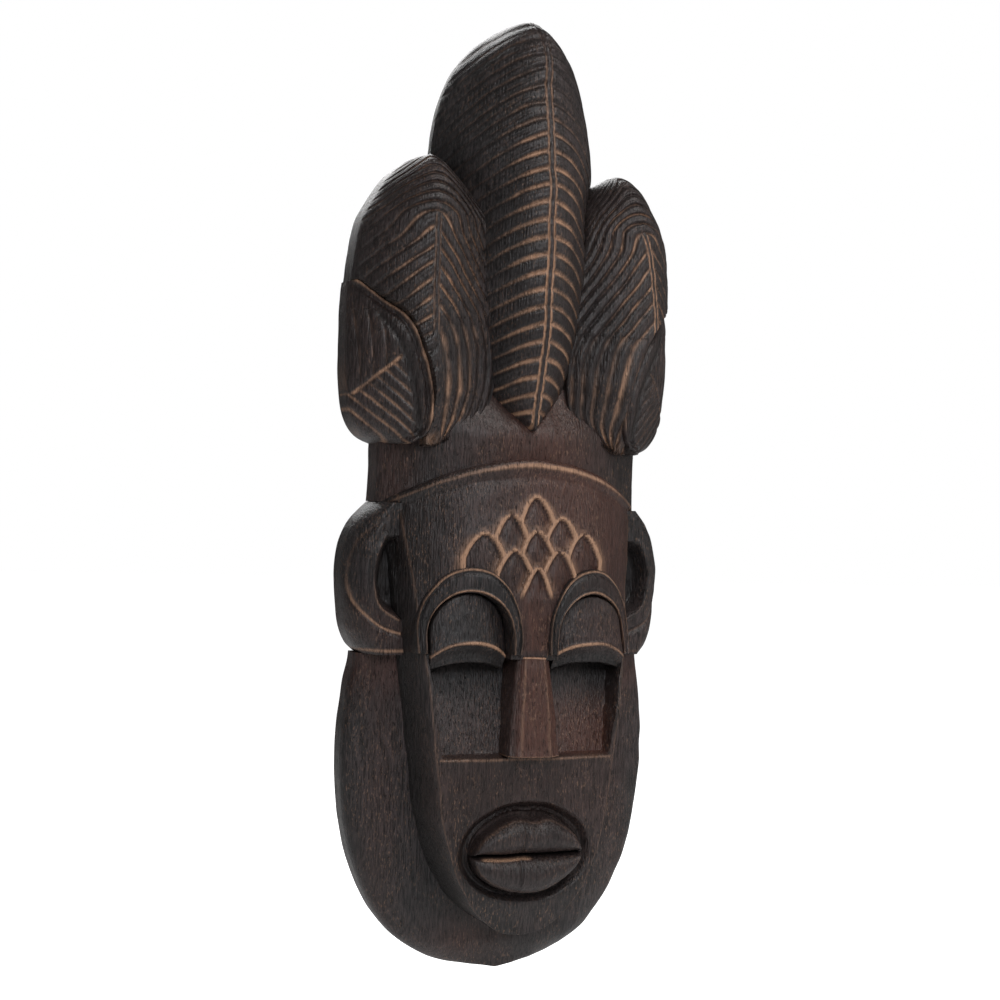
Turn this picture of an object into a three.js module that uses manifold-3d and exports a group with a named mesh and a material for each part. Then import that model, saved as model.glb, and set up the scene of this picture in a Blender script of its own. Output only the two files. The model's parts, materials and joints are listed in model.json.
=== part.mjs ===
// A tall carved wooden wall mask with a leaf headdress, glued up from carved blocks, with a ring hanger.
// Millimetres, +Z up, the face looks along -Y, the wall is the plane y = 0. The origin is where a wall
// hook carries the ring. Heights in the values below are measured up from the lowest point of the
// collar, and depths are measured forward from the wall.
import * as THREE from 'three';
import { mergeVertices } from 'three/addons/utils/BufferGeometryUtils.js';
import Module from 'manifold-3d';

const wasm = await Module();
wasm.setup();

// ---- driving dimensions ----
const GAP = 0.3; // glue line between two carved blocks
const HOOK_HEIGHT = 440; // from the lowest point of the collar up to the hook
const THROUGH = 200; // longer than the mask is deep, for tools that cut right through

const FACE = {
  chin: 30, top: 320, brow: 250, // heights
  halfWidthTop: 88.5, halfWidthEyes: 74, halfWidthMouth: 64, browDrop: 30, // the top edge falls by browDrop
  depthForehead: 72, depthMouth: 69, edgeTop: 24, edgeMouth: 64, wallFoot: 34,
};
const CHEEK = { bottom: 138, top: 198, ledge: 1.5, rim: 9, depthBottom: 62, depthTop: 48 };
const HOLLOW = { bottom: 66, top: 276, halfWidth: 46, depth: 40 };
const NOSE = {
  bottom: 140, top: 200, halfWidthTop: 10.3, halfWidthBottom: 17, depthTop: 72, depthBottom: 80, floor: 46,
};
const LIPS = { bottom: 56, parting: 80, top: 105, halfWidth: 36, depth: 79, floor: 56 };
const BROW = {
  centreX: 40, springing: 212, foot: NOSE.top + 1, // the arch springs from straight feet
  rise: 42, halfWidth: 31.5, bandTop: 16, bandSide: 7, proud: 3, floor: 43,
};
const EYELID = { foot: 191, footArch: 5, clearance: 0.6, depthTop: 65, depthFoot: 71, round: 6, floor: 43 };
const EAR = {
  bottom: 198, top: 291, root: 70, reach: 107.5, depth: 37, edgeDepth: 19,
  cupDepth: 10, cupHalfHeight: 24, cupInset: 14,
};
const COLLAR = { halfWidth: 103, waist: 96.5, widest: 128, depthInner: 30, depthOuter: 17.5 };
const CROWN = { top: 366, halfWidth: 88.3, depth: 56, edgeDepth: 22, fallBack: 18 };
const CENTRE_PLUME = {
  bottom: 338, top: 600, halfWidth: 55.5, widest: 512,
  depth: 76, edgeTop: 8, edgeBottom: 34,
};
const SIDE_PLUME = {
  bottom: 326, top: 507, ridgeX: 68, inner: 26, outer: 108.5,
  depth: 61, edgeInner: 48, edgeOuter: 22,
};
const SIDE_LEAF = { bottom: 327, top: 427, inner: 63, outer: 110, depth: 54, edgeOuter: 20 };
const DOWEL = { radius: 4, bite: 15, depth: 28, clearance: 0.3 };
const RECESS = { halfWidth: 17, above: 8, below: 50, depth: 8 }; // pocket for the hanger, from the hook
const RING = { wire: 1.5, innerHalfWidth: 10, innerHeight: 16, split: 0.2 };
const STRAP = { thickness: 1.2, halfWidth: 7.5, length: 30, play: 0.2 };
const SCREW = { shank: 1.6, head: 3.2, headHeight: 2.1, length: 17, first: 8.5, spacing: 16, play: 0.25 };

// ---- colours ----
const stain = (hex, roughness = 0.6) => (
  new THREE.MeshStandardMaterial({ color: hex, roughness, metalness: 0 })
);
const darkStain = stain(0x2b2021);
const redStain = stain(0x4a2a20);
const leafStain = stain(0x2e2524);
const bareWood = stain(0x9a7148, 0.75);
const zincSteel = new THREE.MeshStandardMaterial({ color: 0xb9b6ac, roughness: 0.35, metalness: 1 });

// ---- shape tools ----
const mix = (a, b, t) => a + (b - a) * t;
const clamp01 = (t) => Math.min(1, Math.max(0, t));
const smooth = (a, b, x) => {
  const t = clamp01((x - a) / (b - a));
  return t * t * (3 - 2 * t);
};
const heightToZ = (height) => height - HOOK_HEIGHT;

// A closed three.js geometry as a manifold solid.
function solid(geometry) {
  const bare = geometry.index ? geometry.toNonIndexed() : geometry.clone();
  bare.deleteAttribute('normal');
  bare.deleteAttribute('uv');
  const merged = mergeVertices(bare, 1e-4);
  const vertProperties = merged.attributes.position.array;
  const corners = [];
  for (let i = 0; i < merged.index.count; i += 3) {
    const [a, b, c] = merged.index.array.slice(i, i + 3);
    if (a !== b && b !== c && c !== a) corners.push(a, b, c);
  }
  const made = (triVerts) => new wasm.Manifold(new wasm.Mesh({ numProp: 3, vertProperties, triVerts }));
  const body = made(new Uint32Array(corners));
  return body.volume() > 0 ? body : made(new Uint32Array(corners.reverse()));
}

// A manifold solid as a named mesh.
function piece(name, body, material) {
  const mesh = body.getMesh();
  const geometry = new THREE.BufferGeometry();
  geometry.setAttribute('position', new THREE.BufferAttribute(new Float32Array(mesh.vertProperties), 3));
  geometry.setIndex(new THREE.BufferAttribute(new Uint32Array(mesh.triVerts), 1));
  geometry.computeVertexNormals();
  const made = new THREE.Mesh(geometry, material);
  made.name = name;
  return made;
}

// A smooth line through points given as [x, height].
const line = (points) => new THREE.SplineCurve(points.map(([x, height]) => new THREE.Vector2(x, height)));
const mirrored = (points) => points.map(([x, height]) => [-x, height]);

// A plate lies between a left and a right edge line. Across it runs from -1 to 1 and along it from 0 to 1.
// lift raises a spot by an amount that depends on where the spot is.
function spotOn({ left, right, lift = () => 0 }, across, along) {
  const spot = left.getPoint(along).lerp(right.getPoint(along), (across + 1) / 2);
  spot.y += lift(spot.x, spot.y);
  return spot;
}

// A plate as a block with a carved front and a flat back. front gives the depth at a spot.
// The back needs only its rim and its middle line, so its inner corners are drawn in to the middle.
function carve(plate, front, back = 0) {
  const box = new THREE.BoxGeometry(2, 1, 1, plate.columns, 1, plate.rows);
  const at = box.attributes.position;
  for (let i = 0; i < at.count; i++) {
    const isBack = at.getY(i) > 0;
    const along = clamp01(at.getZ(i) + 0.5);
    const isInner = isBack && along > 0 && along < 1 && Math.abs(at.getX(i)) < 1;
    const across = isInner ? 0 : at.getX(i);
    const spot = spotOn(plate, across, along);
    at.setXYZ(i, spot.x, -(isBack ? back : front(across, along, spot.x, spot.y)), heightToZ(spot.y));
  }
  return solid(box);
}

// The corners of a plate's outline, anticlockwise seen from the front, moved outwards by grow.
function outline(plate, grow) {
  const steps = Array.from({ length: plate.rows + 1 }, (_, i) => i / plate.rows);
  const inner = Array.from({ length: plate.columns - 1 }, (_, i) => 2 * (i + 1) / plate.columns - 1);
  const rim = [
    ...inner.map((across) => spotOn(plate, across, 0)),
    ...steps.map((along) => spotOn(plate, 1, along)),
    ...inner.map((across) => spotOn(plate, -across, 1)),
    ...steps.map((along) => spotOn(plate, -1, 1 - along)),
  ];
  return rim.map((here, i) => {
    const before = rim[(i + rim.length - 1) % rim.length];
    const after = rim[(i + 1) % rim.length];
    const inward = here.clone().sub(before).normalize();
    const outward = after.clone().sub(here).normalize();
    const normal = new THREE.Vector2(inward.y + outward.y, -inward.x - outward.x).normalize();
    const stretch = 1 / Math.max(0.5, normal.x * outward.y - normal.y * outward.x);
    return here.clone().addScaledVector(normal, grow * stretch);
  });
}

// An outline cut straight through from one depth to another.
function prism(points, from = -THROUGH, to = THROUGH) {
  const bar = new THREE.ExtrudeGeometry(new THREE.Shape(points), { depth: to - from, bevelEnabled: false });
  bar.rotateX(Math.PI / 2);
  bar.translate(0, -from, -HOOK_HEIGHT);
  return solid(bar);
}
const cutter = (plate, from, to) => prism(outline(plate, GAP), from, to);

// A round bar between two points given as [x, depth, height].
function bar(radius, from, to, sides = 16) {
  const [a, b] = [from, to].map(([x, depth, height]) => new THREE.Vector3(x, -depth, heightToZ(height)));
  const rod = new THREE.CylinderGeometry(radius, radius, a.distanceTo(b), sides);
  const way = b.clone().sub(a).normalize();
  rod.applyQuaternion(new THREE.Quaternion().setFromUnitVectors(new THREE.Vector3(0, 1, 0), way));
  const middle = a.add(b).multiplyScalar(0.5);
  rod.translate(middle.x, middle.y, middle.z);
  return solid(rod);
}

// Two sections that are 1 along the middle of a plate and 0 at its edges: a full one and a slim one.
const pillow = (across) => Math.sqrt(Math.max(0, 1 - across * across));
const vault = (across) => 1 - across * across;

// ---- outlines ----
const faceEdge = [
  [2, FACE.chin], [18, FACE.chin + 4], [35, FACE.chin + 17], [49.5, FACE.chin + 40], [59, 98],
  [FACE.halfWidthMouth, 130], [mix(FACE.halfWidthMouth, FACE.halfWidthEyes, 0.5), 165],
  [FACE.halfWidthEyes, 200],
  [78, 232], [81.5, FACE.brow + 5], [FACE.halfWidthTop, FACE.top - FACE.browDrop],
];
// The top of the face is lifted into the arc of the forehead.
const foreheadArc = (x, height) => FACE.browDrop * clamp01(1 - (x / FACE.halfWidthTop) ** 2)
  * clamp01((height - FACE.brow) / (FACE.top - FACE.browDrop - FACE.brow));
const facePlate = {
  left: line(mirrored(faceEdge)), right: line(faceEdge), lift: foreheadArc, columns: 20, rows: 24,
};

const collarEdge = [
  [2, 0], [24, 2], [43, 7], [68, 24], [87, 53], [98, 87], [COLLAR.halfWidth, COLLAR.widest],
  [101.5, 165], [COLLAR.waist, EAR.bottom - GAP],
];
const collarPlate = { left: line(mirrored(collarEdge)), right: line(collarEdge), columns: 16, rows: 22 };

const crownEdge = [
  [CROWN.halfWidth, EAR.top + GAP], [CROWN.halfWidth - 0.5, 310], [CROWN.halfWidth - 0.5, 330],
  [CROWN.halfWidth, CROWN.top],
];
const crownPlate = { left: line(mirrored(crownEdge)), right: line(crownEdge), columns: 20, rows: 8 };

const centreEdge = [
  [2, CENTRE_PLUME.bottom], [15, CENTRE_PLUME.bottom + 9], [27, 362], [34, 380], [40, 415], [47, 465],
  [CENTRE_PLUME.halfWidth - 1, 496], [CENTRE_PLUME.halfWidth, CENTRE_PLUME.widest], [52, 537],
  [44, 562], [32, 580], [15, 595], [2, CENTRE_PLUME.top],
];
const centrePlate = { left: line(mirrored(centreEdge)), right: line(centreEdge), columns: 16, rows: 24 };

const plumeInner = [
  [SIDE_PLUME.ridgeX - 4, SIDE_PLUME.bottom], [46, SIDE_PLUME.bottom + 8], [31, 347], [SIDE_PLUME.inner, 372],
  [SIDE_PLUME.inner + 2, 404], [32, 437], [37, 467], [43, SIDE_PLUME.top - 22], [51, SIDE_PLUME.top - 8],
  [SIDE_PLUME.ridgeX - 6, SIDE_PLUME.top],
];
const plumeOuter = [
  [SIDE_PLUME.ridgeX, SIDE_PLUME.bottom], [84, SIDE_PLUME.bottom + 2],
  [96, SIDE_PLUME.bottom + 8], [103, 346],
  [107, 368], [SIDE_PLUME.outer, 400], [SIDE_PLUME.outer, 428], [106.5, 446], [102.5, 464],
  [94, SIDE_PLUME.top - 25], [86.5, SIDE_PLUME.top - 14], [77, SIDE_PLUME.top - 5],
  [SIDE_PLUME.ridgeX - 2, SIDE_PLUME.top],
];
const leafInner = [
  [76, SIDE_LEAF.bottom], [66, 334], [SIDE_LEAF.inner, 352], [68, 376], [78, 400], [91, 414],
  [105, SIDE_LEAF.top],
];
const leafOuter = [
  [86, SIDE_LEAF.bottom], [98, 332], [105, 342], [SIDE_LEAF.outer - 1.5, 358], [SIDE_LEAF.outer, 384],
  [SIDE_LEAF.outer, 408], [SIDE_LEAF.outer - 0.5, SIDE_LEAF.top],
];
// side is -1 on the viewer's left and 1 on the right.
function sided(side, inner, outer, columns, rows) {
  const flip = side < 0 ? mirrored : (points) => points;
  const [left, right] = side < 0 ? [outer, inner] : [inner, outer];
  return { left: line(flip(left)), right: line(flip(right)), columns, rows };
}
const plumePlate = (side) => sided(side, plumeInner, plumeOuter, 12, 18);
const leafPlate = (side) => sided(side, leafInner, leafOuter, 8, 12);

const earInner = [[EAR.root, EAR.bottom], [EAR.root, 230], [EAR.root, 264], [EAR.root, EAR.top]];
const earOuter = [
  [94, EAR.bottom], [99.5, EAR.bottom + 6], [104, 214], [EAR.reach - 1, 230], [EAR.reach, 248], [105.5, 266],
  [99, 280], [88, EAR.top],
];
const earPlate = (side) => sided(side, earInner, earOuter, 10, 14);

// ---- depths ----
// The face's front before its features are let in.
const faceShoulder = (height) => mix(FACE.edgeMouth, FACE.edgeTop, smooth(150, 290, height))
  - 8 * smooth(FACE.chin + 40, FACE.chin, height);
function faceDepth(x, height) {
  const middle = mix(FACE.depthMouth, FACE.depthForehead, smooth(150, 220, height))
    - 4 * smooth(FACE.chin + 30, FACE.chin, height) - 7 * smooth(FACE.brow, FACE.top, height);
  const halfWidth = mix(FACE.halfWidthMouth, FACE.halfWidthTop, smooth(90, 290, height));
  return middle - (middle - faceShoulder(height)) * clamp01(Math.abs(x) / halfWidth) ** 2.6;
}
// Its side walls lean out to the collar.
const faceFront = (across, along, x, height) => mix(
  faceDepth(x, height), Math.min(FACE.wallFoot, faceShoulder(height)), smooth(0.9, 1, Math.abs(across)),
);
function cheekDepth(x, height) {
  const middle = mix(CHEEK.depthBottom, CHEEK.depthTop, (height - CHEEK.bottom) / (CHEEK.top - CHEEK.bottom));
  return middle - 5 * clamp01(Math.abs(x) / FACE.halfWidthEyes) ** 2;
}

// ---- blocks ----
const faceBlock = () => carve(facePlate, faceFront);

const noseHalfWidth = (height) => mix(
  NOSE.halfWidthBottom, NOSE.halfWidthTop, clamp01((height - NOSE.bottom) / (NOSE.top - NOSE.bottom)),
);
const cheekPlate = (side) => sided(
  side,
  [CHEEK.bottom, 160, CHEEK.top].map((height) => [noseHalfWidth(height) + CHEEK.ledge, height]),
  [
    [FACE.halfWidthMouth - CHEEK.rim, CHEEK.bottom], [67 - CHEEK.rim, 160],
    [FACE.halfWidthEyes - CHEEK.rim, CHEEK.top],
  ],
  8, 6,
);
const cheekTool = (side) => (
  carve(cheekPlate(side), (across, along, x, height) => cheekDepth(x, height), THROUGH)
);

// The scooped back of the face: half of a stretched sphere.
function hollowTool() {
  const bowl = new THREE.SphereGeometry(1, 20, 14);
  bowl.scale(HOLLOW.halfWidth, HOLLOW.depth, (HOLLOW.top - HOLLOW.bottom) / 2);
  bowl.translate(0, 0, heightToZ((HOLLOW.top + HOLLOW.bottom) / 2));
  return solid(bowl);
}

const nosePlate = {
  left: line([[-NOSE.halfWidthBottom, NOSE.bottom], [-NOSE.halfWidthTop, NOSE.top]]),
  right: line([[NOSE.halfWidthBottom, NOSE.bottom], [NOSE.halfWidthTop, NOSE.top]]),
  columns: 8, rows: 8,
};
const noseDepth = (across, along) => mix(NOSE.depthBottom, NOSE.depthTop, along) - 3 * Math.abs(across) ** 3;
const noseBlock = () => carve(nosePlate, noseDepth, NOSE.floor + GAP);

// The mouth's two lips share the parting line.
const lipSpan = (t) => LIPS.halfWidth * mix(-1, 1, t);
const bow = (x) => Math.sqrt(Math.max(0, 1 - (x / LIPS.halfWidth) ** 2));
function lipPlate(upper) {
  const steps = Array.from({ length: 9 }, (_, i) => lipSpan(i / 8));
  const dip = (x) => (upper ? 3.5 * Math.exp(-((x / 6) ** 2)) : 0);
  const reach = upper ? LIPS.top - LIPS.parting : LIPS.parting - LIPS.bottom;
  const rise = (x) => GAP + 1.5 + (reach - 2) * bow(x) ** 1.3 - dip(x);
  const edge = steps.map((x) => [x, LIPS.parting + (upper ? rise(x) : -rise(x))]);
  const seam = steps.map((x) => [x, LIPS.parting + (upper ? 1 : -1) * GAP / 2]);
  // Rows run along the mouth, so the plate's own left edge is its upper line.
  return { left: line(upper ? edge : seam), right: line(upper ? seam : edge), columns: 6, rows: 16 };
}
const lipRim = LIPS.floor + 10;
const lipDepth = (across, along, x) => lipRim
  + (LIPS.depth - lipRim) * pillow(across * 0.93) * (0.35 + 0.65 * bow(x));
const lipBlock = (upper) => carve(lipPlate(upper), lipDepth, LIPS.floor + GAP);

// A brow is an arch standing on two feet. An eyelid fills the arch.
const turns = Array.from({ length: 9 }, (_, i) => Math.PI * (1 - i / 8));
const arch = (side, halfWidth, rise) => turns.map(
  (turn) => [side * BROW.centreX + halfWidth * Math.cos(turn), BROW.springing + rise * Math.sin(turn)],
);
function archLine(side, halfWidth, rise, foot) {
  const round = arch(side, halfWidth, rise);
  return [[round[0][0], foot], ...round, [round.at(-1)[0], foot]];
}
const browRows = 24;
const browPlate = (side) => ({
  left: line(archLine(side, BROW.halfWidth, BROW.rise, BROW.foot)),
  right: line(archLine(side, BROW.halfWidth - BROW.bandSide, BROW.rise - BROW.bandTop, BROW.foot)),
  columns: 4, rows: browRows,
});
const browDepth = (across, along, x, height) => (
  faceDepth(x, height) - 3 + (BROW.proud + 3) * pillow(across * 0.9)
);
const browBlock = (side) => carve(browPlate(side), browDepth, BROW.floor + GAP);
const lidHalfWidth = BROW.halfWidth - BROW.bandSide - EYELID.clearance;
const lidRise = BROW.rise - BROW.bandTop - EYELID.clearance;
function lidPlate(side) {
  const top = arch(side, lidHalfWidth, lidRise);
  const foot = top.map(([x], i) => [x, EYELID.foot + EYELID.footArch * Math.sin(turns[i]) ** 2]);
  return { left: line(top), right: line(foot), columns: 6, rows: 16 };
}
const lidDepth = (across, x, side) => mix(EYELID.depthFoot, EYELID.depthTop, (1 - across) / 2)
  - EYELID.round * ((x - side * BROW.centreX) / lidHalfWidth) ** 2;
const lidBlock = (side) => (
  carve(lidPlate(side), (across, along, x) => lidDepth(across, x, side), EYELID.floor + GAP)
);
// Both are let into one arched socket.
const socketTool = (side) => prism(
  line(archLine(side, BROW.halfWidth + GAP, BROW.rise + GAP, BROW.foot - GAP)).getPoints(browRows),
  BROW.floor, THROUGH,
);

const collarDepth = (across, along, x, height) => mix(COLLAR.depthInner, COLLAR.depthOuter, across ** 4)
  - 5 * smooth(20, 0, height);
const crownDepth = (across, height) => mix(CROWN.depth, CROWN.edgeDepth, Math.abs(across) ** 2.4)
  - CROWN.fallBack * smooth(CROWN.top - 34, CROWN.top, height) * (1 - Math.abs(across));

// A plume's ridge comes down round to its tip.
const roundedTip = (height, top, reach) => pillow(clamp01((height - top + reach) / reach)) * 0.9 + 0.1;
function centreDepth(across, along, x, height) {
  const edge = mix(CENTRE_PLUME.edgeBottom, CENTRE_PLUME.edgeTop, smooth(430, 500, height));
  const ridge = CENTRE_PLUME.depth - 12 * smooth(480, 560, height)
    - 14 * smooth(410, CENTRE_PLUME.bottom, height);
  return mix(edge, ridge, vault(across) * roundedTip(height, CENTRE_PLUME.top, 45));
}

// outward runs from 0 at a side block's inner edge to 1 at its outer edge.
function plumeDepth(outward, height) {
  const edge = mix(SIDE_PLUME.edgeInner, SIDE_PLUME.edgeOuter, outward);
  const ridge = SIDE_PLUME.depth - 12 * smooth(370, SIDE_PLUME.bottom, height);
  return mix(edge, ridge, vault(2 * outward - 1) * roundedTip(height, SIDE_PLUME.top, 45));
}
const leafDepth = (outward, along) => mix(
  SIDE_LEAF.edgeOuter, SIDE_LEAF.depth, vault(outward) * (1 - 0.75 * smooth(0.6, 1, along)),
) - 6 * Math.abs(2 * along - 1) ** 3;
const earDepth = (outward) => mix(EAR.depth, EAR.edgeDepth, clamp01(2.5 * outward - 1.5) ** 2);
const outwardOn = (side, across) => (1 + side * across) / 2;

// An ear is a thick crescent with a cup scooped out of it.
function earCup(side) {
  const cup = new THREE.SphereGeometry(1, 14, 10);
  cup.scale(EAR.cupInset, EAR.cupDepth, EAR.cupHalfHeight);
  cup.translate(side * (FACE.halfWidthEyes + 9), -EAR.depth, heightToZ((EAR.bottom + EAR.top) / 2));
  return solid(cup);
}

// ---- dowels, each given by its name, middle and direction ----
const dowels = [
  ...[-1, 1].flatMap((side) => {
    const hand = side < 0 ? 'left' : 'right';
    return [
      { name: `crown_dowel_${hand}`, middle: [side * 30, DOWEL.depth, FACE.top - 2], along: 'height' },
      {
        name: `${hand}_plume_dowel`, middle: [side * 55, DOWEL.depth, SIDE_PLUME.bottom + 5],
        along: 'height',
      },
      { name: `${hand}_ear_dowel`, middle: [side * 80, DOWEL.depth / 2, 245], along: 'x', bite: 11 },
      {
        name: `${hand}_collar_dowel`, middle: [side * FACE.halfWidthMouth, DOWEL.depth / 2, 122],
        along: 'x', bite: 13,
      },
    ];
  }),
  { name: 'centre_plume_dowel', middle: [0, DOWEL.depth, CENTRE_PLUME.bottom + 1], along: 'height' },
  { name: 'chin_dowel', middle: [0, DOWEL.depth / 2, FACE.chin], along: 'height' },
];
function dowelBar({ middle: [x, depth, height], along, bite = DOWEL.bite }, grow = 0) {
  const reach = bite + 2 * grow;
  const step = along === 'x' ? [reach, 0] : [0, reach];
  const start = [x - step[0], depth, height - step[1]];
  const end = [x + step[0], depth, height + step[1]];
  return bar(DOWEL.radius + grow, start, end);
}

// ---- hanger, on the back of the centre plume ----
const barZ = -RING.innerHeight - RING.wire; // the ring's straight bar, below the hook
const plateBack = RECESS.depth - GAP;
const eyeInner = RING.wire + STRAP.play;
const eyeOuter = eyeInner + STRAP.thickness;
const eyeDepth = plateBack - eyeOuter;

function recessTool() {
  const pocket = new THREE.BoxGeometry(2 * RECESS.halfWidth, 2 * RECESS.depth, RECESS.above + RECESS.below);
  pocket.translate(0, 0, (RECESS.above - RECESS.below) / 2);
  return solid(pocket);
}

// The strap's section, drawn in depth and z: a flat plate rolled into an eye round the ring's bar.
function strapBody() {
  const section = new THREE.Shape();
  section.moveTo(plateBack, barZ);
  section.absarc(eyeDepth, barZ, eyeOuter, 0, 1.5 * Math.PI, false);
  section.lineTo(plateBack - STRAP.thickness, barZ - eyeOuter);
  section.lineTo(plateBack - STRAP.thickness, barZ - STRAP.length);
  section.lineTo(plateBack, barZ - STRAP.length);
  section.closePath();
  section.holes.push(new THREE.Path().absarc(eyeDepth, barZ, eyeInner, 0, 2 * Math.PI, true));
  const strap = new THREE.ExtrudeGeometry(
    section, { depth: 2 * STRAP.halfWidth, bevelEnabled: false, curveSegments: 24 });
  strap.translate(0, 0, -STRAP.halfWidth);
  // depth, z and width become -y, z and x
  strap.applyMatrix4(new THREE.Matrix4().set(0, 0, 1, 0, -1, 0, 0, 0, 0, 1, 0, 0, 0, 0, 0, 1));
  return solid(strap);
}

// A D-shaped wire, split at the middle of its straight bar.
function ringBody() {
  const half = RING.innerHalfWidth + RING.wire;
  const corner = 3;
  const top = RING.wire;
  const path = new THREE.CurvePath();
  const at = (x, z) => new THREE.Vector3(x, -eyeDepth, z);
  const shoulder = top - half;
  path.add(new THREE.LineCurve3(at(RING.split, barZ), at(half - corner, barZ)));
  path.add(new THREE.QuadraticBezierCurve3(at(half - corner, barZ), at(half, barZ), at(half, barZ + corner)));
  path.add(new THREE.LineCurve3(at(half, barZ + corner), at(half, shoulder)));
  const turn = (i) => Math.PI * i / 12;
  const arc = Array.from(
    { length: 13 }, (_, i) => at(half * Math.cos(turn(i)), shoulder + half * Math.sin(turn(i))));
  path.add(new THREE.CatmullRomCurve3(arc));
  path.add(new THREE.LineCurve3(at(-half, shoulder), at(-half, barZ + corner)));
  path.add(new THREE.QuadraticBezierCurve3(
    at(-half, barZ + corner), at(-half, barZ), at(-half + corner, barZ)));
  path.add(new THREE.LineCurve3(at(-half + corner, barZ), at(-RING.split, barZ)));
  const section = new THREE.Shape().absarc(0, 0, RING.wire, 0, 2 * Math.PI);
  const sweep = { steps: 48, extrudePath: path, bevelEnabled: false, curveSegments: 5 };
  return solid(new THREE.ExtrudeGeometry(section, sweep));
}

const screwZ = [0, 1].map((i) => barZ - SCREW.first - i * SCREW.spacing);
const seat = plateBack - STRAP.thickness - GAP; // the depth under the screw heads
function screwBody(z) {
  const { shank, head, headHeight, length } = SCREW;
  const profile = [
    [0, -headHeight], [head * 0.6, -headHeight], [head, -headHeight * 0.4], [head, 0],
    [shank, 0], [shank, length - 4], [0, length],
  ];
  const screw = new THREE.LatheGeometry(profile.map(([r, y]) => new THREE.Vector2(r, y)).reverse(), 20);
  screw.rotateX(Math.PI);
  screw.translate(0, -seat, z);
  const slots = [[4, 0.9], [0.9, 4]].map(([w, h]) => {
    const slot = new THREE.BoxGeometry(w, 1.4, h);
    slot.translate(0, headHeight - seat, z);
    return solid(slot);
  });
  return slots.reduce((body, slot) => body.subtract(slot), solid(screw));
}
const screwHole = (z) => bar(
  SCREW.shank + SCREW.play, [0, 0, HOOK_HEIGHT + z], [0, seat + SCREW.length + 1, HOOK_HEIGHT + z]);

// ---- assembly ----
const subtractAll = (body, tools) => tools.reduce((rest, tool) => rest.subtract(tool), body);
const both = (make) => [-1, 1].map(make);
const dowelHoles = dowels.map((dowel) => dowelBar(dowel, DOWEL.clearance));
const faceTool = cutter(facePlate);
const plumeTools = both((side) => cutter(plumePlate(side)));
const leafTools = both((side) => cutter(leafPlate(side)));

const mask = new THREE.Group();
const add = (name, body, material) => mask.add(piece(name, body, material));

add('face_block', subtractAll(faceBlock(), [
  ...both(cheekTool), hollowTool(), cutter(nosePlate, NOSE.floor, THROUGH), ...both(socketTool),
  ...both((side) => cutter(lidPlate(side), EYELID.floor, THROUGH)),
  cutter(lipPlate(true), LIPS.floor, THROUGH), cutter(lipPlate(false), LIPS.floor, THROUGH), ...dowelHoles,
]), redStain);
add('nose', noseBlock(), redStain);
add('upper_lip', lipBlock(true), darkStain);
add('lower_lip', lipBlock(false), darkStain);
add('collar_board', subtractAll(carve(collarPlate, collarDepth), [faceTool, ...dowelHoles]), darkStain);
const crownFront = (across, along, x, height) => crownDepth(across, height);
add('crown_band', subtractAll(carve(crownPlate, crownFront), [
  faceTool, cutter(centrePlate), ...plumeTools, ...leafTools, ...dowelHoles,
]), redStain);
add('centre_plume', subtractAll(carve(centrePlate, centreDepth), [
  ...plumeTools, recessTool(), ...screwZ.map(screwHole), ...dowelHoles,
]), leafStain);
for (const side of [-1, 1]) {
  const hand = side < 0 ? 'left' : 'right';
  const plume = carve(
    plumePlate(side), (across, along, x, height) => plumeDepth(outwardOn(side, across), height));
  const leaf = carve(leafPlate(side), (across, along) => leafDepth(outwardOn(side, across), along));
  const ear = carve(earPlate(side), (across) => earDepth(outwardOn(side, across)));
  add(`${hand}_plume`, subtractAll(plume, [...leafTools, ...dowelHoles]), leafStain);
  add(`${hand}_side_leaf`, leaf, leafStain);
  add(`${hand}_ear`, subtractAll(ear, [faceTool, earCup(side), ...dowelHoles]), darkStain);
  add(`${hand}_brow`, browBlock(side), darkStain);
  add(`${hand}_eyelid`, lidBlock(side), darkStain);
}
dowels.forEach((dowel) => add(dowel.name, dowelBar(dowel), bareWood));

add('hanger_strap', subtractAll(strapBody(), screwZ.map(screwHole)), zincSteel);
add('hanger_ring', ringBody(), zincSteel);
screwZ.forEach((z, i) => add(`hanger_screw_${i + 1}`, screwBody(z), zincSteel));

export default mask;
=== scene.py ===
"""Looks of a tall carved wooden wall mask with a leaf headdress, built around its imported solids.

The mask is carved from wooden blocks, stained near-black and rubbed back, and it hangs by a steel ring.
Working sizes are millimetres: x across the mask, height up from the lowest point of its collar and
depth forward from the wall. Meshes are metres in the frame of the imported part.
"""

from __future__ import annotations

import json
import logging
import math
from dataclasses import dataclass, field
from enum import Enum
from typing import Callable

import bmesh
import bpy
import numpy as np
from mathutils import Matrix, Vector

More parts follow.
